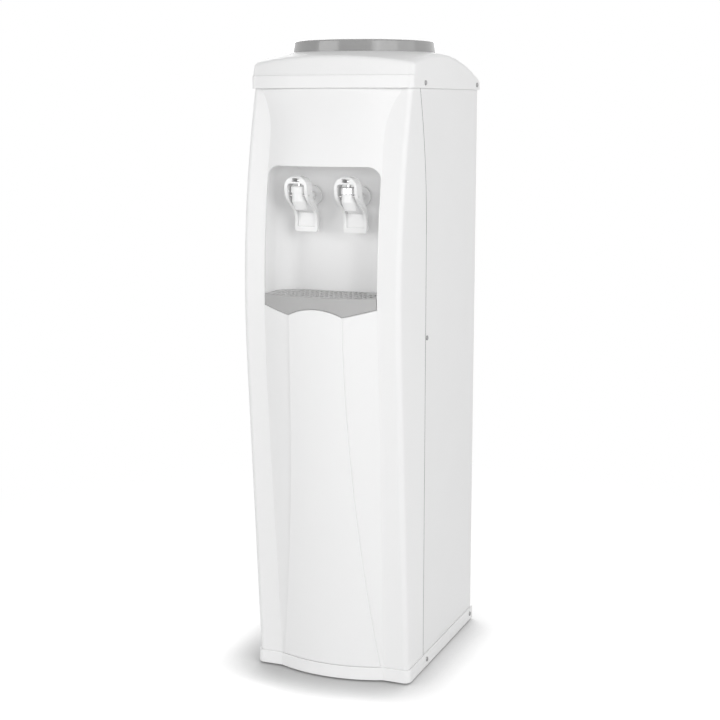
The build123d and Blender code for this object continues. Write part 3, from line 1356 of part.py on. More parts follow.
with BuildPart() as compressor_grommets:
    with BuildSketch(Plane.XY.offset(GROMMET_LOW)):
        with Locations((0, COMPRESSOR_Y)):
            with GridLocations(*MOUNT_GRID):
                Circle(GROMMET_RADIUS)
    extrude(amount=GROMMET_FLANGE)
    with BuildSketch(Plane.XY.offset(PLATE_LOW)):
        with Locations((0, COMPRESSOR_Y)):
            with GridLocations(*MOUNT_GRID):
                Circle(GROMMET_NECK)
    extrude(amount=PLATE_THICK)
    with BuildSketch(Plane.XY.offset(PLATE_TOP)):
        with Locations((0, COMPRESSOR_Y)):
            with GridLocations(*MOUNT_GRID):
                Circle(GROMMET_RADIUS)
    extrude(amount=GROMMET_FLANGE / 2)
    with BuildSketch(Plane.XY.offset(GROMMET_LOW)):
        with Locations((0, COMPRESSOR_Y)):
            with GridLocations(*MOUNT_GRID):
                Circle(GROMMET_BORE)
    extrude(amount=GROMMET_TOP - GROMMET_LOW, mode=Mode.SUBTRACT)
save(compressor_grommets.part, "compressor_grommets")

with BuildPart() as compressor_bolts:
    with BuildSketch(Plane.XY.offset(PANEL_LOW)):
        with Locations((0, COMPRESSOR_Y)):
            with GridLocations(*MOUNT_GRID):
                Circle(BOLT_RADIUS)
    extrude(amount=GROMMET_TOP - PANEL_LOW)
    with BuildSketch(Plane.XY.offset(GROMMET_TOP)):
        with Locations((0, COMPRESSOR_Y)):
            with GridLocations(*MOUNT_GRID):
                RegularPolygon(BOLT_HEAD, 6)
    extrude(amount=BOLT_HEAD_HEIGHT)
save(compressor_bolts.part, "compressor_bolts")

COMPRESSOR_TOP = PLATE_TOP + COMPRESSOR_HEIGHT
WELD_LEVEL = PLATE_TOP + WELD_RISE
with BuildPart() as compressor:
    with BuildSketch(Plane.XY.offset(PLATE_TOP)):
        with Locations((0, COMPRESSOR_Y)):
            Ellipse(COMPRESSOR_HALF_X, COMPRESSOR_HALF_Y)
    extrude(amount=COMPRESSOR_HEIGHT)
    fillet(compressor.edges().group_by(Axis.Z)[-1], CROWN_RADIUS)
    fillet(compressor.edges().group_by(Axis.Z)[0], HEEL_RADIUS)
    with BuildSketch(Plane.XY.offset(WELD_LEVEL)):
        with Locations((0, COMPRESSOR_Y)):
            Ellipse(COMPRESSOR_HALF_X + WELD_FLANGE, COMPRESSOR_HALF_Y + WELD_FLANGE)
    extrude(amount=WELD_HEIGHT)
save(compressor.part, "compressor")

RELAY_LOW = WELD_LEVEL + WELD_HEIGHT + RELAY_GAP
with BuildPart() as relay_cover:
    with BuildSketch(Plane.XY.offset(RELAY_LOW)):
        with Locations((-COMPRESSOR_HALF_X, COMPRESSOR_Y)):
            RectangleRounded(2 * RELAY_DEPTH, RELAY_WIDTH, RELAY_CORNER)
    extrude(amount=RELAY_HEIGHT)
    add(compressor.part, mode=Mode.SUBTRACT)
save(relay_cover.part.solids().sort_by(Axis.X)[0], "relay_cover")

# Wire-on-tube condenser in the recess between the folds
CONDENSER_Y = (RETURN_Y + SHEET_BACK) / 2
CONDENSER_PITCH = (CONDENSER_TOP - CONDENSER_LOW) / (RUN_COUNT - 1)
CONDENSER_BEND = CONDENSER_PITCH / 2 - CONDENSER_EASE
condenser_route = [(-CONDENSER_LEAD, CONDENSER_Y, CONDENSER_TOP)]
for run in range(RUN_COUNT):
    level = CONDENSER_TOP - run * CONDENSER_PITCH
    end = CONDENSER_HALF if run % 2 == 0 else -CONDENSER_HALF
    last = run == RUN_COUNT - 1
    condenser_route.append((CONDENSER_LEAD if last else end, CONDENSER_Y, level))
    if not last:
        condenser_route.append((end, CONDENSER_Y, level - CONDENSER_PITCH))
save(tube_along(condenser_route, CONDENSER_BEND, CONDENSER_TUBE), "condenser_tube")

WIRE_OFFSET = CONDENSER_TUBE + WIRE_RADIUS + WIRE_GAP
WIRE_PITCH = 2 * WIRE_SPAN / (WIRE_COUNT - 1)
with BuildPart() as condenser_wires:
    with BuildSketch(Plane.XY.offset(CONDENSER_LOW - WIRE_OVERRUN)):
        with Locations((0, CONDENSER_Y)):
            with GridLocations(WIRE_PITCH, 2 * WIRE_OFFSET, WIRE_COUNT, 2):
                Circle(WIRE_RADIUS)
    extrude(amount=CONDENSER_TOP - CONDENSER_LOW + 2 * WIRE_OVERRUN)
save(condenser_wires.part, "condenser_wires")

CLIP_Y = CONDENSER_Y + CONDENSER_TUBE + WIRE_GAP
CLIP_LEVELS = [CONDENSER_TOP - CONDENSER_PITCH, CONDENSER_LOW + CONDENSER_PITCH]
CLIP_INNER = CONDENSER_HALF - CONDENSER_BEND - CLIP_HEIGHT / 2
with BuildPart() as condenser_clips:
    for level in CLIP_LEVELS:
        with BuildSketch(Plane.XY.offset(level - CLIP_HEIGHT / 2)):
            for side in CABINET_SIDES.values():
                with BuildLine():
                    Polyline(
                        (side * CLIP_INNER, CLIP_Y),
                        (side * (RETURN_X - FIT), CLIP_Y),
                        (side * (RETURN_X - FIT), CLIP_Y + PANEL_WALL),
                        (side * CLIP_INNER, CLIP_Y + PANEL_WALL),
                        close=True,
                    )
                make_face()
        extrude(amount=CLIP_HEIGHT)
save(condenser_clips.part, "condenser_clips")

# Pipework: hot gas, drier, capillary and suction
GAS_Y = RISER_Y + PIPE_SPACING
DRIER_TOP = CONDENSER_LOW - DRIER_DROP
DRIER_LOW = DRIER_TOP - DRIER_LENGTH
PIPE_LEVEL = COMPRESSOR_TOP + PIPE_RISE
discharge_route = [
    (-PORT_X, COMPRESSOR_Y, COMPRESSOR_TOP),
    (-PORT_X, COMPRESSOR_Y, PIPE_LEVEL),
    (-COIL_RADIUS, COMPRESSOR_Y, PIPE_LEVEL),
    (-COIL_RADIUS, GAS_Y, PIPE_LEVEL),
    (-COIL_RADIUS, GAS_Y, CONDENSER_TOP),
    (-COIL_RADIUS, CONDENSER_Y, CONDENSER_TOP),
    (-CONDENSER_LEAD, CONDENSER_Y, CONDENSER_TOP),
]
save(tube_along(discharge_route, LINE_BEND, LINE_RADIUS), "discharge_line")

liquid_route = [
    (CONDENSER_LEAD, CONDENSER_Y, CONDENSER_LOW),
    (COIL_RADIUS, CONDENSER_Y, CONDENSER_LOW),
    (COIL_RADIUS, RISER_Y, CONDENSER_LOW),
    (COIL_RADIUS, RISER_Y, DRIER_TOP),
]
save(tube_along(liquid_route, LINE_BEND, LINE_RADIUS), "liquid_line")

with BuildPart() as filter_drier:
    with BuildSketch(Plane(origin=(COIL_RADIUS, RISER_Y, 0), x_dir=(1, 0, 0), z_dir=(0, -1, 0))):
        with BuildLine():
            Polyline(
                (0, DRIER_LOW),
                (CAPILLARY_RADIUS * 2, DRIER_LOW),
                (DRIER_RADIUS, DRIER_LOW + DRIER_NECK),
                (DRIER_RADIUS, DRIER_TOP - DRIER_NECK),
                (LINE_RADIUS + SHEET, DRIER_TOP),
                (0, DRIER_TOP),
                close=True,
            )
        make_face()
    revolve(axis=Axis((COIL_RADIUS, RISER_Y, 0), (0, 0, 1)))
save(filter_drier.part, "filter_drier")

CAPILLARY_Y = RISER_Y - CAPILLARY_STEP
CAPILLARY_LOW = DRIER_LOW - CAPILLARY_DROP
capillary_route = [
    (COIL_RADIUS, RISER_Y, DRIER_LOW),
    (COIL_RADIUS, RISER_Y, CAPILLARY_LOW),
    (COIL_RADIUS, CAPILLARY_Y, CAPILLARY_LOW),
    (COIL_RADIUS, CAPILLARY_Y, CONDENSER_LOW + CONDENSER_PITCH),
    (COIL_RADIUS, RISER_Y, CONDENSER_LOW + CONDENSER_PITCH),
    (COIL_RADIUS, RISER_Y, COIL_END),
    (COIL_RADIUS, COIL_TAIL_Y, COIL_END),
]
save(tube_along(capillary_route, CAPILLARY_BEND, CAPILLARY_RADIUS), "capillary_tube")

SUCTION_LEVEL = PIPE_LEVEL + SUCTION_RISE
suction_route = [
    (-COIL_RADIUS, COIL_TAIL_Y, COIL_START),
    (-COIL_RADIUS, RISER_Y, COIL_START),
    (-COIL_RADIUS, RISER_Y, SUCTION_LEVEL),
    (PORT_X, RISER_Y, SUCTION_LEVEL),
    (PORT_X, COMPRESSOR_Y, SUCTION_LEVEL),
    (PORT_X, COMPRESSOR_Y, COMPRESSOR_TOP),
]
save(tube_along(suction_route, LINE_BEND, SUCTION_RADIUS), "suction_line")
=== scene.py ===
"""Column water cooler: finishes, moulded details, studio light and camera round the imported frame."""
import json
import math

import bpy
from mathutils import Matrix, Vector


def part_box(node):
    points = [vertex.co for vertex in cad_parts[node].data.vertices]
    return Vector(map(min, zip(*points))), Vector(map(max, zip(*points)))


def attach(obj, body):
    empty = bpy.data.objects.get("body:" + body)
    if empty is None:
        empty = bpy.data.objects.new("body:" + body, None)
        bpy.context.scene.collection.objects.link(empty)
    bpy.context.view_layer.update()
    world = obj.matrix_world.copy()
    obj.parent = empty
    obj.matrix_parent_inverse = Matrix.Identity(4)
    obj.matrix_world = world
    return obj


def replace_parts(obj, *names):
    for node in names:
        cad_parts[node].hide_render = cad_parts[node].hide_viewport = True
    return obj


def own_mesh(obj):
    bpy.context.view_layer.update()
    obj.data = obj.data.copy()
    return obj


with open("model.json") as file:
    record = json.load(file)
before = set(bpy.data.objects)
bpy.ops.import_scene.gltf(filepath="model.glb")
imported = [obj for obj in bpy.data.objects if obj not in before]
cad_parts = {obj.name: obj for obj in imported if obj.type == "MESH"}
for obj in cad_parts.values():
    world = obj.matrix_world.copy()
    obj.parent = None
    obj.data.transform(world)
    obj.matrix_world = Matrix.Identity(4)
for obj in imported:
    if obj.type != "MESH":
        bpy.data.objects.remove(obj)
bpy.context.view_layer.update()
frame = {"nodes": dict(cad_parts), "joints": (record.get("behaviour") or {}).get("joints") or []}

nodes = frame["nodes"]

SIDES = ("left", "right")
WHITE = (1.0, 1.0, 1.0, 1.0)
BLACK = (0.0, 0.0, 0.0, 1.0)

# Making of the pieces
MERGE_DISTANCE = 0.00001
ROD_ROUNDNESS = 4
ROUND_ANGLE = 60.0
FACING = 0.9
LEANING = 0.5

# Tap window and the lip round it
WINDOW_HALF = 0.092
WINDOW_TOP = 0.812
WINDOW_CORNER = 0.020
WAVE_SIDE = 0.6007
WAVE_LOW = 0.589
WAVE_ARCH = 0.600
WAVE_LOW_X = 0.044
LIP_RADIUS = 0.0011
LIP_OUTSET = 0.0008
CORNER_STEPS = 12
RUN_CUTS = 47

# Painted shadow: a black rubber rod in the seam between the bowed panel and the side sheets, set where only
# the gap's shade falls
SHADOW_STRIP_RADIUS = 0.00025

# Pan-head screws
HEAD_RADIUS = 0.0038
HEAD_HEIGHT = 0.0018
HEAD_SIDES = 40
CROWN_SHARE = 0.62
CROWN_STEPS = 6
SHANK_RADIUS = 0.0016
SHANK_LENGTH = 0.009
POINT_SHARE = 0.7
POINT_STEPS = 3
CROSS_LENGTH = 0.0044
CROSS_WIDTH = 0.0009
CROSS_DEPTH = 0.0011
CROSS_TAPER = (1, 0.45, 0.6)
SCREW_TURN = 23.0

# Paper floor and room light
PAPER_SIZE = 80.0
PAPER_DIM = 0.80
PAPER_SOFT = 0.50
PAPER_GLOW = 0.68
FADE_START = 0.45
FADE_END = 1.3
SHADE_REACH = 0.085
SHADE_POWER = 2.4
SHADE_LEAN = {"X": 0.25, "Y": 0.50, "Z": 1.0}
SHADE_SAMPLES = 16
ROOM_LIGHT = 0.40

# Softboxes: place, height aimed at, width, height, power
SOFTBOXES = {
    "left_softbox": ((-2.2, -2.8, 1.4), 0.6, 2.2, 2.0, 34.0),
    "front_softbox": ((0.8, -3.4, 0.9), 0.6, 2.4, 1.6, 15.0),
    "right_softbox": ((2.9, -1.9, 1.8), 0.5, 2.6, 2.4, 42.0),
    "side_softbox": ((3.4, 0.3, 1.2), 0.5, 2.0, 2.0, 12.0),
    "strip_softbox": ((2.3, -2.3, 1.3), 0.7, 0.3, 1.6, 6.5),
    "back_softbox": ((-1.6, 3.0, 1.7), 0.5, 2.4, 2.2, 40.0),
}

# Camera
SENSOR_WIDTH = 36.0
FOCAL_LENGTH = 72.08
NEAREST_SEEN = 0.05
CAMERA_PLACE = (0.8606, -2.1538, 0.9014)
CAMERA_DOWN = 10.01
CAMERA_TURN = 21.87


class Tone:
    """A socket of a finish, so that shader maths reads as plain maths."""

    def __init__(self, finish, socket):
        self.finish = finish
        self.socket = socket

    def maths(self, operation, first, second):
        return self.finish.node("ShaderNodeMath", {"operation": operation}, {0: first, 1: second})

    def __add__(self, other):
        return self.maths("ADD", self, other)

    def __radd__(self, other):
        return self.maths("ADD", other, self)

    def __mul__(self, other):
        return self.maths("MULTIPLY", self, other)

    def __pow__(self, other):
        return self.maths("POWER", self, other)

    def most(self, other):
        return self.maths("MAXIMUM", self, other)

    def least(self, other):
        return self.maths("MINIMUM", self, other)


class Finish:
    """A node material, or another node tree, with one way to add its nodes."""

    def __init__(self, name, tree=None):
        self.material = None
        if tree is None:
            self.material = bpy.data.materials.new(name)
            self.material.use_nodes = True
            tree = self.material.node_tree
        self.tree = tree
        self.tree.nodes.clear()

    def node(self, kind, settings=None, values=None, out=0):
        """Adds a node, sets it, links or sets its inputs, and gives one of its outputs."""
        made = self.tree.nodes.new(kind)
        for key, value in (settings or {}).items():
            if key == "stops":
                ramp = made.color_ramp
                while len(ramp.elements) < len(value):
                    ramp.elements.new(0.5)
                for element, (place, colour) in zip(ramp.elements, value):
                    element.position = place
                    element.color = colour
            else:
                setattr(made, key, value)
        for key, value in (values or {}).items():
            if isinstance(value, Tone):
                self.tree.links.new(value.socket, made.inputs[key])
            else:
                made.inputs[key].default_value = value
        return Tone(self, made.outputs[out]) if made.outputs else None

    def place(self):
        return self.node("ShaderNodeTexCoord", out="Object")

    def noise(self, place, scale, detail=3.0, roughness=0.5):
        values = {"Vector": place, "Scale": scale, "Detail": detail, "Roughness": roughness}
        return self.node("ShaderNodeTexNoise", {}, values)

    def stretched(self, place, scale):
        return self.node("ShaderNodeMapping", {}, {"Vector": place, "Scale": scale})

    def blend(self, factor, first, second):
        values = {"Factor": factor, 6: first, 7: second}
        return self.node("ShaderNodeMix", {"data_type": "RGBA"}, values, out=2)

    def ramp(self, factor, stops):
        return self.node("ShaderNodeValToRGB", {"stops": stops}, {"Fac": factor})

    def mixed(self, factor, shaders):
        """A Mix Shader of one or two shaders, given by their socket numbers."""
        return self.node("ShaderNodeMixShader", {}, {0: factor, **shaders})

    def bump(self, height, strength, depth, edge=0.0004):
        """A fine relief on edges that are rounded by a small radius, as moulds and presses leave them."""
        rounded = self.node("ShaderNodeBevel", {"samples": 6}, {"Radius": edge})
        values = {"Height": height, "Strength": strength, "Distance": depth, "Normal": rounded}
        return self.node("ShaderNodeBump", {}, values)

    def seen_plainly(self):
        """One for rays from the camera, from gloss and through glass, and nought for the light's own."""
        direct = self.node("ShaderNodeLightPath", out="Is Camera Ray")
        gloss = self.node("ShaderNodeLightPath", out="Is Glossy Ray")
        glass = self.node("ShaderNodeLightPath", out="Is Transmission Ray")
        return direct.most(gloss).most(glass)

    def surface(self, **sockets):
        """Ends a material with one shader, whose sockets are named with _ for each space."""
        values = {name.replace("_", " "): value for name, value in sockets.items()}
        shader = self.node("ShaderNodeBsdfPrincipled", {}, values)
        self.node("ShaderNodeOutputMaterial", {}, {"Surface": shader})
        return self.material


def grey(level, warmth=0.0):
    return (level * (1 + warmth), level, level * (1 - warmth), 1.0)


def moulded(name, level, roughness, grain, edge, warmth=0.0, coat=0.0):
    """Injection-moulded plastic: faint flow marks, a fine spark-eroded grain and uneven gloss."""
    finish = Finish(name)
    place = finish.place()
    flow = finish.noise(finish.stretched(place, (1.0, 1.0, 0.35)), scale=6.0, detail=2.0)
    pores = finish.noise(place, scale=grain, detail=2.0, roughness=0.6)
    smudge = finish.noise(place, scale=23.0, detail=4.0, roughness=0.6)
    return finish.surface(
        Base_Color=finish.blend(flow, grey(level * 0.985, warmth), grey(level * 1.015, warmth)),
        Roughness=roughness - 0.05 + smudge * 0.06 + pores * 0.04,
        Coat_Weight=coat,
        Coat_Roughness=0.12,
        IOR=1.49,
        Normal=finish.bump(pores, strength=0.10, depth=0.00012, edge=edge),
    )


def sprayed(name, level, roughness, peel, edge):
    """Sprayed enamel on sheet steel with its orange peel."""
    finish = Finish(name)
    place = finish.place()
    waves = finish.noise(place, scale=peel, detail=2.0, roughness=0.4)
    mist = finish.noise(place, scale=9.0)
    return finish.surface(
        Base_Color=finish.blend(mist, grey(level * 0.98), grey(level * 1.02)),
        Roughness=roughness + waves * 0.08 + mist * 0.05,
        Normal=finish.bump(waves, strength=0.16, depth=0.0002, edge=edge),
    )


def plated(name, level, roughness, warmth=0.0):
    """Bright plated metal with a faint haze and hairlines."""
    finish = Finish(name)
    place = finish.place()
    haze = finish.noise(place, scale=160.0)
    hairs = finish.noise(finish.stretched(place, (1.0, 1.0, 30.0)), scale=60.0, detail=2.0)
    return finish.surface(
        Base_Color=finish.blend(haze, grey(level * 0.94, warmth), grey(level * 1.04, warmth)),
        Metallic=1.0,
        Roughness=roughness + haze * 0.07,
        Normal=finish.bump(hairs, strength=0.05, depth=0.0001),
    )


def soft_rubber(name, level, roughness):
    """Rubber with a dusty bloom."""
    finish = Finish(name)
    place = finish.place()
    bloom = finish.noise(place, scale=70.0, detail=5.0, roughness=0.65)
    pits = finish.noise(place, scale=900.0, detail=2.0)
    return finish.surface(
        Base_Color=finish.blend(bloom, grey(level * 0.8), grey(level * 1.35)),
        Roughness=roughness + bloom * 0.12,
        Normal=finish.bump(pits, strength=0.15, depth=0.0002),
    )


def natural_tank(name):
    """Milky food-grade tank plastic with soft gloss."""
    finish = Finish(name)
    place = finish.place()
    cloud = finish.noise(place, scale=18.0)
    ripple = finish.noise(place, scale=420.0, detail=2.0)
    return finish.surface(
        Base_Color=finish.blend(cloud, (0.74, 0.76, 0.76, 1.0), (0.82, 0.83, 0.82, 1.0)),
        Roughness=0.34 + cloud * 0.12,
        Normal=finish.bump(ripple, strength=0.1, depth=0.0002),
    )


def bead_foam(name):
    """Expanded foam: pressed beads with thin shaded joints."""
    finish = Finish(name)
    grid = {"Vector": finish.place(), "Scale": 260.0}
    cells = finish.node("ShaderNodeTexVoronoi", {"feature": "DISTANCE_TO_EDGE"}, grid)
    tint = finish.node("ShaderNodeTexVoronoi", {}, grid)
    joint = (cells * 9.0).least(1.0)
    return finish.surface(
        Base_Color=finish.blend(joint, (0.62, 0.63, 0.64, 1.0), (0.86, 0.87, 0.87, 1.0)),
        Roughness=0.78 + tint * 0.15,
        Normal=finish.bump(joint, strength=0.5, depth=0.0006),
    )


def drawn_copper(name):
    """Drawn copper pipe: bright metal with brown tarnish patches."""
    finish = Finish(name)
    place = finish.place()
    patch = finish.noise(place, scale=38.0, detail=5.0, roughness=0.62)
    tarnish = finish.ramp(patch, [(0.38, BLACK), (0.68, WHITE)])
    scratch = finish.noise(place, scale=500.0, detail=2.0)
    return finish.surface(
        Base_Color=finish.blend(tarnish, (0.80, 0.42, 0.27, 1.0), (0.42, 0.20, 0.12, 1.0)),
        Metallic=1.0,
        Roughness=0.22 + patch * 0.25,
        Normal=finish.bump(scratch, strength=0.08, depth=0.0002),
    )


def zinc_sheet(name):
    """Galvanised sheet with its crystal spangle."""
    finish = Finish(name)
    place = finish.place()
    warp = finish.noise(place, scale=60.0, detail=2.0)
    grid = {"Vector": place, "Scale": 95.0}
    crystals = finish.node("ShaderNodeTexVoronoi", {}, grid, out="Color")
    shade = finish.node("ShaderNodeSeparateColor", {}, {"Color": crystals})
    level = shade * 0.7 + warp * 0.3
    return finish.surface(
        Base_Color=finish.blend(level, (0.50, 0.52, 0.54, 1.0), (0.62, 0.64, 0.66, 1.0)),
        Metallic=1.0,
        Roughness=0.30 + level * 0.16,
        Normal=finish.bump(level, strength=0.08, depth=0.0002),
    )


FINISHES = {
    "white_shell": moulded("white_shell", 0.86, 0.46, grain=1500.0, edge=0.0015),
    "liner_white": moulded("liner_white", 0.89, 0.46, grain=1500.0, edge=0.0015),
    "side_paint": sprayed("side_paint", 0.83, 0.38, peel=420.0, edge=0.0012),
    "grey_plastic": moulded("grey_plastic", 0.43, 0.34, grain=1500.0, edge=0.0008, warmth=0.004),
    # Painted light: the drip grille is the tray's grey plastic made lighter, standing in for light that the
    # shade of the tap recess takes from it
    "grille_plastic": moulded("grille_plastic", 0.54, 0.34, grain=1500.0, edge=0.0004, warmth=0.004),
    # Painted shade: the collar's glossy coat is its own, but its level, darker than the tray's grey plastic,
    # stands in for less light falling on it
    "collar_plastic": moulded(
        "collar_plastic", 0.29, 0.16, grain=1500.0, edge=0.0010, warmth=0.004, coat=0.5,
    ),
    "tap_white": moulded("tap_white", 0.87, 0.20, grain=2200.0, edge=0.0006, coat=0.3),
    "tap_chrome": plated("tap_chrome", 0.80, 0.06),
    "steel": plated("steel", 0.56, 0.24, warmth=0.01),
    "screw_steel": plated("screw_steel", 0.34, 0.32),
    "silicone": moulded("silicone", 0.78, 0.46, grain=700.0, edge=0.0004, warmth=0.01),
    "nut_plastic": moulded("nut_plastic", 0.72, 0.40, grain=900.0, edge=0.0005, warmth=0.02),
    "black_rubber": soft_rubber("black_rubber", 0.022, 0.62),
    "tank_plastic": natural_tank("tank_plastic"),
    "foam": bead_foam("foam"),
    "copper": drawn_copper("copper"),
    "galvanised": zinc_sheet("galvanised"),
    "black_paint": sprayed("black_paint", 0.020, 0.30, peel=300.0, edge=0.0006),
    "black_plastic": moulded("black_plastic", 0.028, 0.42, grain=1100.0, edge=0.0008),
}


def both(*kinds):
    """The names of the left and the right node of each kind."""
    return [f"{kind}_{side}" for kind in kinds for side in SIDES]


WORN_BY = {
    "white_shell": ["front_panel", "top_cap", "base_plinth"],
    "liner_white": ["alcove_liner"],
    "side_paint": both("side_panel"),
    "grey_plastic": ["drip_tray"],
    # The drip grille wears the grey plastic painted lighter
    "grille_plastic": ["drip_grille"],
    # The bottle collar wears the grey plastic painted darker, with its own gloss coat
    "collar_plastic": ["bottle_collar"],
    "tap_white": both("tap_body", "tap_lever") + ["tap_bonnet_left"],
    "tap_chrome": both("valve_stem") + ["tap_bonnet_right"],
    "steel": both("lever_pins", "valve_spring") + ["compressor_bolts"],
    "screw_steel": ["casing_screws"],
    "silicone": both("tap_gasket", "valve_seal", "hose"),
    "nut_plastic": both("tap_nut"),
    "black_rubber": ["foot_pads", "compressor_grommets", "cord_gland"],
    "tank_plastic": ["reservoir_tank", "tank_lid", "tank_baffle"],
    "foam": ["tank_insulation"],
    "copper": [
        "evaporator_coil", "discharge_line", "liquid_line", "filter_drier", "capillary_tube", "suction_line",
    ],
    "galvanised": ["tank_shelf", "rear_cover", "rear_crossbar", "compressor_plate"],
    "black_paint": ["compressor", "condenser_tube", "condenser_wires"],
    "black_plastic": ["relay_cover", "thermostat", "thermostat_knob", "condenser_clips"],
}


def dress_nodes():
    """Gives every CAD node its finish."""
    for finish_name, names in WORN_BY.items():
        for name in names:
            slots = nodes[name].data.materials
            slots.clear()
            slots.append(FINISHES[finish_name])


def alone(piece):
    """Selects one piece and nothing else."""
    bpy.ops.object.select_all(action="DESELECT")
    bpy.context.view_layer.objects.active = piece
    piece.select_set(True)


def edit(piece, mode="VERT"):
    """Enters edit mode on one piece alone, with nothing selected."""
    alone(piece)
    bpy.ops.object.mode_set(mode="EDIT")
    bpy.ops.mesh.select_mode(type=mode)
    bpy.ops.mesh.select_all(action="DESELECT")


def pick(piece, kind, wanted):
    """Selects a piece's vertices, edges or polygons that answer a question, from edit mode and back to it."""
    bpy.ops.object.mode_set(mode="OBJECT")
    for element in getattr(piece.data, kind):
        element.select = wanted(element)
    bpy.ops.object.mode_set(mode="EDIT")


def done():
    """Leaves edit mode."""
    bpy.ops.object.mode_set(mode="OBJECT")


def settle(piece, name, body, slot_name, angle=35.0):
    """Puts a finished piece's place into its mesh, smooths it, dresses it and seats it on its body."""
    alone(piece)
    bpy.ops.object.transform_apply(location=True, rotation=True, scale=True)
    bpy.ops.object.shade_smooth_by_angle(angle=math.radians(angle))
    piece.name = name
    piece.data.materials.clear()
    piece.data.materials.append(FINISHES[slot_name])
    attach(piece, body)
    return piece


def merged_copy(node):
    """A CAD node's mesh as a new object whose loose triangles are joined."""
    piece = bpy.data.objects.new(f"{node}_copy", nodes[node].data.copy())
    bpy.context.scene.collection.objects.link(piece)
    edit(piece)
    bpy.ops.mesh.select_all(action="SELECT")
    bpy.ops.mesh.remove_doubles(threshold=MERGE_DISTANCE)
    done()
    return piece


def rod(path, radius):
    """Turns a piece that is only a line of edges into a closed round rod."""
    alone(path)
    bpy.ops.object.convert(target="CURVE")
    path.data.bevel_depth = radius
    path.data.bevel_resolution = ROD_ROUNDNESS
    path.data.use_fill_caps = True
    bpy.ops.object.convert(target="MESH")
    return bpy.context.object


def run_of(piece, edge):
    """The two end points of an edge, and its length."""
    first, last = (piece.data.vertices[end].co for end in edge.vertices)
    return first, last, (first - last).length


def seam_shadow_strip(side):
    """A thin black strip along the front edge of one side sheet, where it meets the bowed panel: a painted
    shadow line for the shade in that seam.
    """
    strip = merged_copy(f"side_panel_{side}")
    sides_of = {}
    for face in strip.data.polygons:
        for key in face.edge_keys:
            sides_of.setdefault(key, []).append(face.normal.copy())
    outer = max(abs(point.co.x) for point in strip.data.vertices) - SHADOW_STRIP_RADIUS / 10

    def front_edge(edge):
        """An edge between the outer skin and the front lip, too long for the rim of a screw hole."""
        first, last, length = run_of(strip, edge)
        skin = any(abs(normal.x) > FACING for normal in sides_of[edge.key])
        lip = any(normal.y < -LEANING for normal in sides_of[edge.key])
        outside = min(abs(first.x), abs(last.x)) > outer
        return skin and lip and outside and length > HEAD_RADIUS

    edit(strip, "EDGE")
    pick(strip, "edges", front_edge)
    bpy.ops.mesh.select_all(action="INVERT")
    bpy.ops.mesh.delete(type="EDGE_FACE")
    done()
    # The black rubber finish makes this rod a painted shadow line in the seam
    settle(rod(strip, SHADOW_STRIP_RADIUS), f"seam_strip_{side}", "cabinet", "black_rubber", ROUND_ANGLE)


def wave(across):
    """Height of the window's lower edge: two low points with an arch between them."""
    reach = abs(across)
    if reach > WAVE_LOW_X:
        return WAVE_LOW + (WAVE_SIDE - WAVE_LOW) * (reach - WAVE_LOW_X) / (WINDOW_HALF - WAVE_LOW_X)
    rise = WAVE_ARCH - WAVE_LOW
    radius = (WAVE_LOW_X**2 + rise**2) / (2 * rise)
    return WAVE_ARCH - radius + math.sqrt(radius**2 - reach**2)


def window_lip():
    """A soft rolled lip round the window, flush with the bowed panel."""
    bpy.ops.object.select_all(action="DESELECT")
    bpy.ops.mesh.primitive_plane_add(size=1.0, rotation=(math.pi / 2, 0, 0))
    lip = bpy.context.object
    low = WAVE_SIDE - LIP_OUTSET
    high = WINDOW_TOP + LIP_OUTSET
    middle = (low + high) / 2
    lip.scale = (2 * (WINDOW_HALF + LIP_OUTSET), high - low, 1.0)
    lip.location = (0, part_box("front_panel")[0].y - WINDOW_CORNER, middle)
    bpy.ops.object.transform_apply(location=True, rotation=True, scale=True)
    edit(lip)
    pick(lip, "vertices", lambda corner: corner.co.z > middle)
    bpy.ops.mesh.bevel(affect="VERTICES", offset=WINDOW_CORNER + LIP_OUTSET, segments=CORNER_STEPS)
    bpy.ops.mesh.select_all(action="SELECT")
    bpy.ops.mesh.delete(type="ONLY_FACE")
    pick(lip, "edges", lambda edge: run_of(lip, edge)[2] > WINDOW_CORNER)
    bpy.ops.mesh.subdivide(number_cuts=RUN_CUTS)
    done()
    for point in lip.data.vertices:
        if point.co.z < low + MERGE_DISTANCE:
            point.co.z = wave(point.co.x) - LIP_OUTSET
    seat = lip.modifiers.new("seat", "SHRINKWRAP")
    seat.target = nodes["front_panel"]
    seat.wrap_method = "PROJECT"
    seat.use_project_y = True
    bpy.ops.object.modifier_apply(modifier="seat")
    edit(lip)
    bpy.ops.mesh.select_all(action="SELECT")
    bpy.ops.transform.translate(value=(0, LIP_RADIUS, 0))
    done()
    settle(rod(lip, LIP_RADIUS), "window_lip", "cabinet", "white_shell", ROUND_ANGLE)


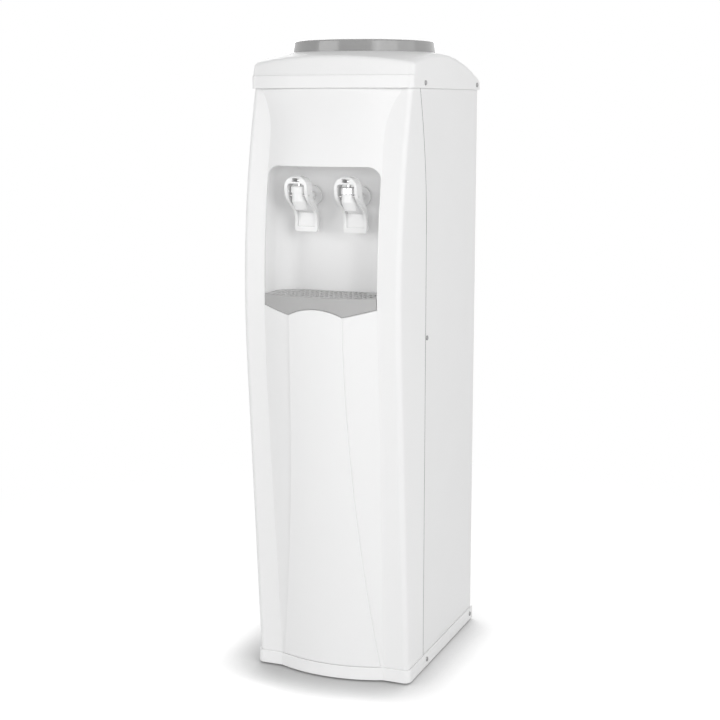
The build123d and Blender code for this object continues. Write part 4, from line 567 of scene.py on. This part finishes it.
def screw_head():
    """One pan-head screw along +X with its seat at the origin and a cross recess in its head."""
    bpy.ops.object.select_all(action="DESELECT")
    bpy.ops.mesh.primitive_cylinder_add(vertices=HEAD_SIDES, radius=HEAD_RADIUS, depth=HEAD_HEIGHT)
    screw = bpy.context.object
    screw.location = (HEAD_HEIGHT / 2, 0, 0)
    screw.rotation_euler = (0, math.pi / 2, 0)
    bpy.ops.object.transform_apply(location=True, rotation=True, scale=True)
    edit(screw, "FACE")
    pick(screw, "polygons", lambda face: face.normal.x > FACING)
    bpy.ops.mesh.bevel(offset=HEAD_HEIGHT * CROWN_SHARE, segments=CROWN_STEPS, profile=0.5, affect="EDGES")
    pick(screw, "polygons", lambda face: face.normal.x < -FACING)
    bpy.ops.mesh.inset(thickness=HEAD_RADIUS - SHANK_RADIUS)
    bpy.ops.mesh.extrude_region_move(TRANSFORM_OT_translate={"value": (-SHANK_LENGTH, 0, 0)})
    bpy.ops.mesh.bevel(offset=SHANK_RADIUS * POINT_SHARE, segments=POINT_STEPS, affect="EDGES")
    done()
    for turn in (0.0, math.pi / 2):
        bpy.ops.object.select_all(action="DESELECT")
        bpy.ops.mesh.primitive_cube_add(size=1.0, location=(HEAD_HEIGHT, 0, 0), rotation=(turn, 0, 0))
        blade = bpy.context.object
        blade.scale = (2 * CROSS_DEPTH, CROSS_LENGTH, CROSS_WIDTH)
        edit(blade, "FACE")
        pick(blade, "polygons", lambda face: face.normal.x < -FACING)
        bpy.ops.transform.resize(value=CROSS_TAPER)
        done()
        cut = screw.modifiers.new("cross", "BOOLEAN")
        cut.object = blade
        cut.solver = "EXACT"
        bpy.context.view_layer.objects.active = screw
        bpy.ops.object.modifier_apply(modifier="cross")
        bpy.data.objects.remove(blade)
    return screw


def casing_screw_heads():
    """The cabinet's screws, each turned to its own stop, on the seats of the CAD screws."""
    edit(merged_copy("casing_screws"))
    bpy.ops.mesh.select_all(action="SELECT")
    bpy.ops.mesh.separate(type="LOOSE")
    done()
    loose = list(bpy.context.selected_objects)
    pattern = screw_head()
    heads = []
    for count, solid in enumerate(loose):
        points = [point.co for point in solid.data.vertices]
        middle = sum(points, Vector()) / len(points)
        side = 1.0 if middle.x > 0 else -1.0
        tip = max(side * point.x for point in points)
        head = pattern.copy()
        head.data = pattern.data.copy()
        bpy.context.scene.collection.objects.link(head)
        turn = Matrix.Rotation(math.radians(SCREW_TURN * count), 4, "X")
        face = Matrix.Rotation(0.0 if side > 0 else math.pi, 4, "Z")
        seat = Matrix.Translation((side * (tip - HEAD_HEIGHT), middle.y, middle.z))
        head.data.transform(seat @ face @ turn)
        heads.append(head)
        bpy.data.objects.remove(solid)
    bpy.data.objects.remove(pattern)
    alone(heads[0])
    for head in heads:
        head.select_set(True)
    bpy.ops.object.join()
    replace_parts(settle(heads[0], "casing_screw_heads", "cabinet", "screw_steel"), "casing_screws")


def valve_coil(side):
    """The valve spring of one tap, as a smoothed copy of its CAD node on the cabinet; how far it would
    squeeze as the stem lifts is worked out, but it is not squeezed.
    """
    node = f"valve_spring_{side}"
    joint = f"stem_{side}_lift"
    low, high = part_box(node)
    coil = settle(merged_copy(node), f"valve_coil_{side}", "cabinet", "steel", ROUND_ANGLE)
    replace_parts(coil, node)
    travel = next(entry["range_m"][1] for entry in frame["joints"] if entry["name"] == joint)
    keep = 1.0 - travel / (high.z - low.z)
    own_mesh(coil)


def paper_floor():
    """White paper floor with a painted contact shadow, from ambient occlusion dimming its glow, and the
    lamps' own shadow in its diffuse part; it fades to plain white away from the cooler.
    """
    bpy.ops.object.select_all(action="DESELECT")
    bpy.ops.mesh.primitive_plane_add(size=PAPER_SIZE, location=(0, 0, 0))
    floor = bpy.context.object
    floor.name = "studio_floor"
    paper = Finish("studio_paper")
    seen = paper.seen_plainly()
    spread = paper.node("ShaderNodeVectorMath", {"operation": "LENGTH"}, {0: paper.place()}, out="Value")
    fade = {0: spread, 1: FADE_START, 2: FADE_END}
    far = paper.node("ShaderNodeMapRange", {"interpolation_type": "SMOOTHSTEP"}, fade)
    # Painted contact shadow: ambient occlusion, leant back and to the right, dims the floor's glow near the
    # cooler
    lean = paper.node("ShaderNodeCombineXYZ", {}, SHADE_LEAN)
    upward = paper.node("ShaderNodeVectorMath", {"operation": "NORMALIZE"}, {0: lean})
    reach = {"Distance": SHADE_REACH, "Normal": upward}
    open_sky = paper.node("ShaderNodeAmbientOcclusion", {"samples": SHADE_SAMPLES}, reach, out="AO")
    glow = paper.node("ShaderNodeEmission", {}, {"Color": WHITE, "Strength": PAPER_GLOW})
    shaded = paper.mixed(open_sky**SHADE_POWER, {2: glow})
    soft = paper.node("ShaderNodeBsdfDiffuse", {}, {"Color": grey(PAPER_SOFT)})
    lit = paper.node("ShaderNodeAddShader", {}, {0: shaded, 1: soft})
    dim = paper.node("ShaderNodeBsdfDiffuse", {}, {"Color": grey(PAPER_DIM)})
    near = paper.mixed(seen, {1: dim, 2: lit})
    plain = paper.node("ShaderNodeEmission", {}, {"Color": WHITE, "Strength": 1.0})
    paper.node("ShaderNodeOutputMaterial", {}, {"Surface": paper.mixed(seen * far, {1: near, 2: plain})})
    floor.data.materials.append(paper.material)


def studio_sky():
    """Even room light, white where the camera, gloss or glass sees it."""
    world = bpy.data.worlds.new("studio")
    bpy.context.scene.world = world
    world.use_nodes = True
    sky = Finish("studio", world.node_tree)
    seen = sky.seen_plainly()
    room = sky.node("ShaderNodeBackground", {}, {"Color": WHITE, "Strength": ROOM_LIGHT})
    plain = sky.node("ShaderNodeBackground", {}, {"Color": WHITE, "Strength": 1.0})
    sky.node("ShaderNodeOutputWorld", {}, {"Surface": sky.mixed(seen, {1: room, 2: plain})})


def softbox(name, place, aim, width, height, power):
    """An area lamp that looks at a height on the cooler's axis."""
    lamp = bpy.data.lights.new(name, "AREA")
    lamp.shape = "RECTANGLE"
    lamp.size = width
    lamp.size_y = height
    lamp.energy = power
    made = bpy.data.objects.new(name, lamp)
    bpy.context.scene.collection.objects.link(made)
    made.location = place
    made.rotation_euler = (Vector((0, 0, aim)) - Vector(place)).to_track_quat("-Z", "Y").to_euler()


def photo_camera():
    """The photograph's view."""
    lens = bpy.data.cameras.new("photo_camera")
    lens.sensor_width = SENSOR_WIDTH
    lens.lens = FOCAL_LENGTH
    lens.clip_start = NEAREST_SEEN
    camera = bpy.data.objects.new("photo_camera", lens)
    bpy.context.scene.collection.objects.link(camera)
    camera.location = CAMERA_PLACE
    camera.rotation_euler = (math.radians(90.0 - CAMERA_DOWN), 0.0, math.radians(CAMERA_TURN))
    bpy.context.scene.camera = camera


dress_nodes()
window_lip()
for side in SIDES:
    seam_shadow_strip(side)
    valve_coil(side)
casing_screw_heads()

paper_floor()
studio_sky()
for name, settings in SOFTBOXES.items():
    softbox(name, *settings)
photo_camera()
bpy.context.scene.view_settings.view_transform = "Standard"
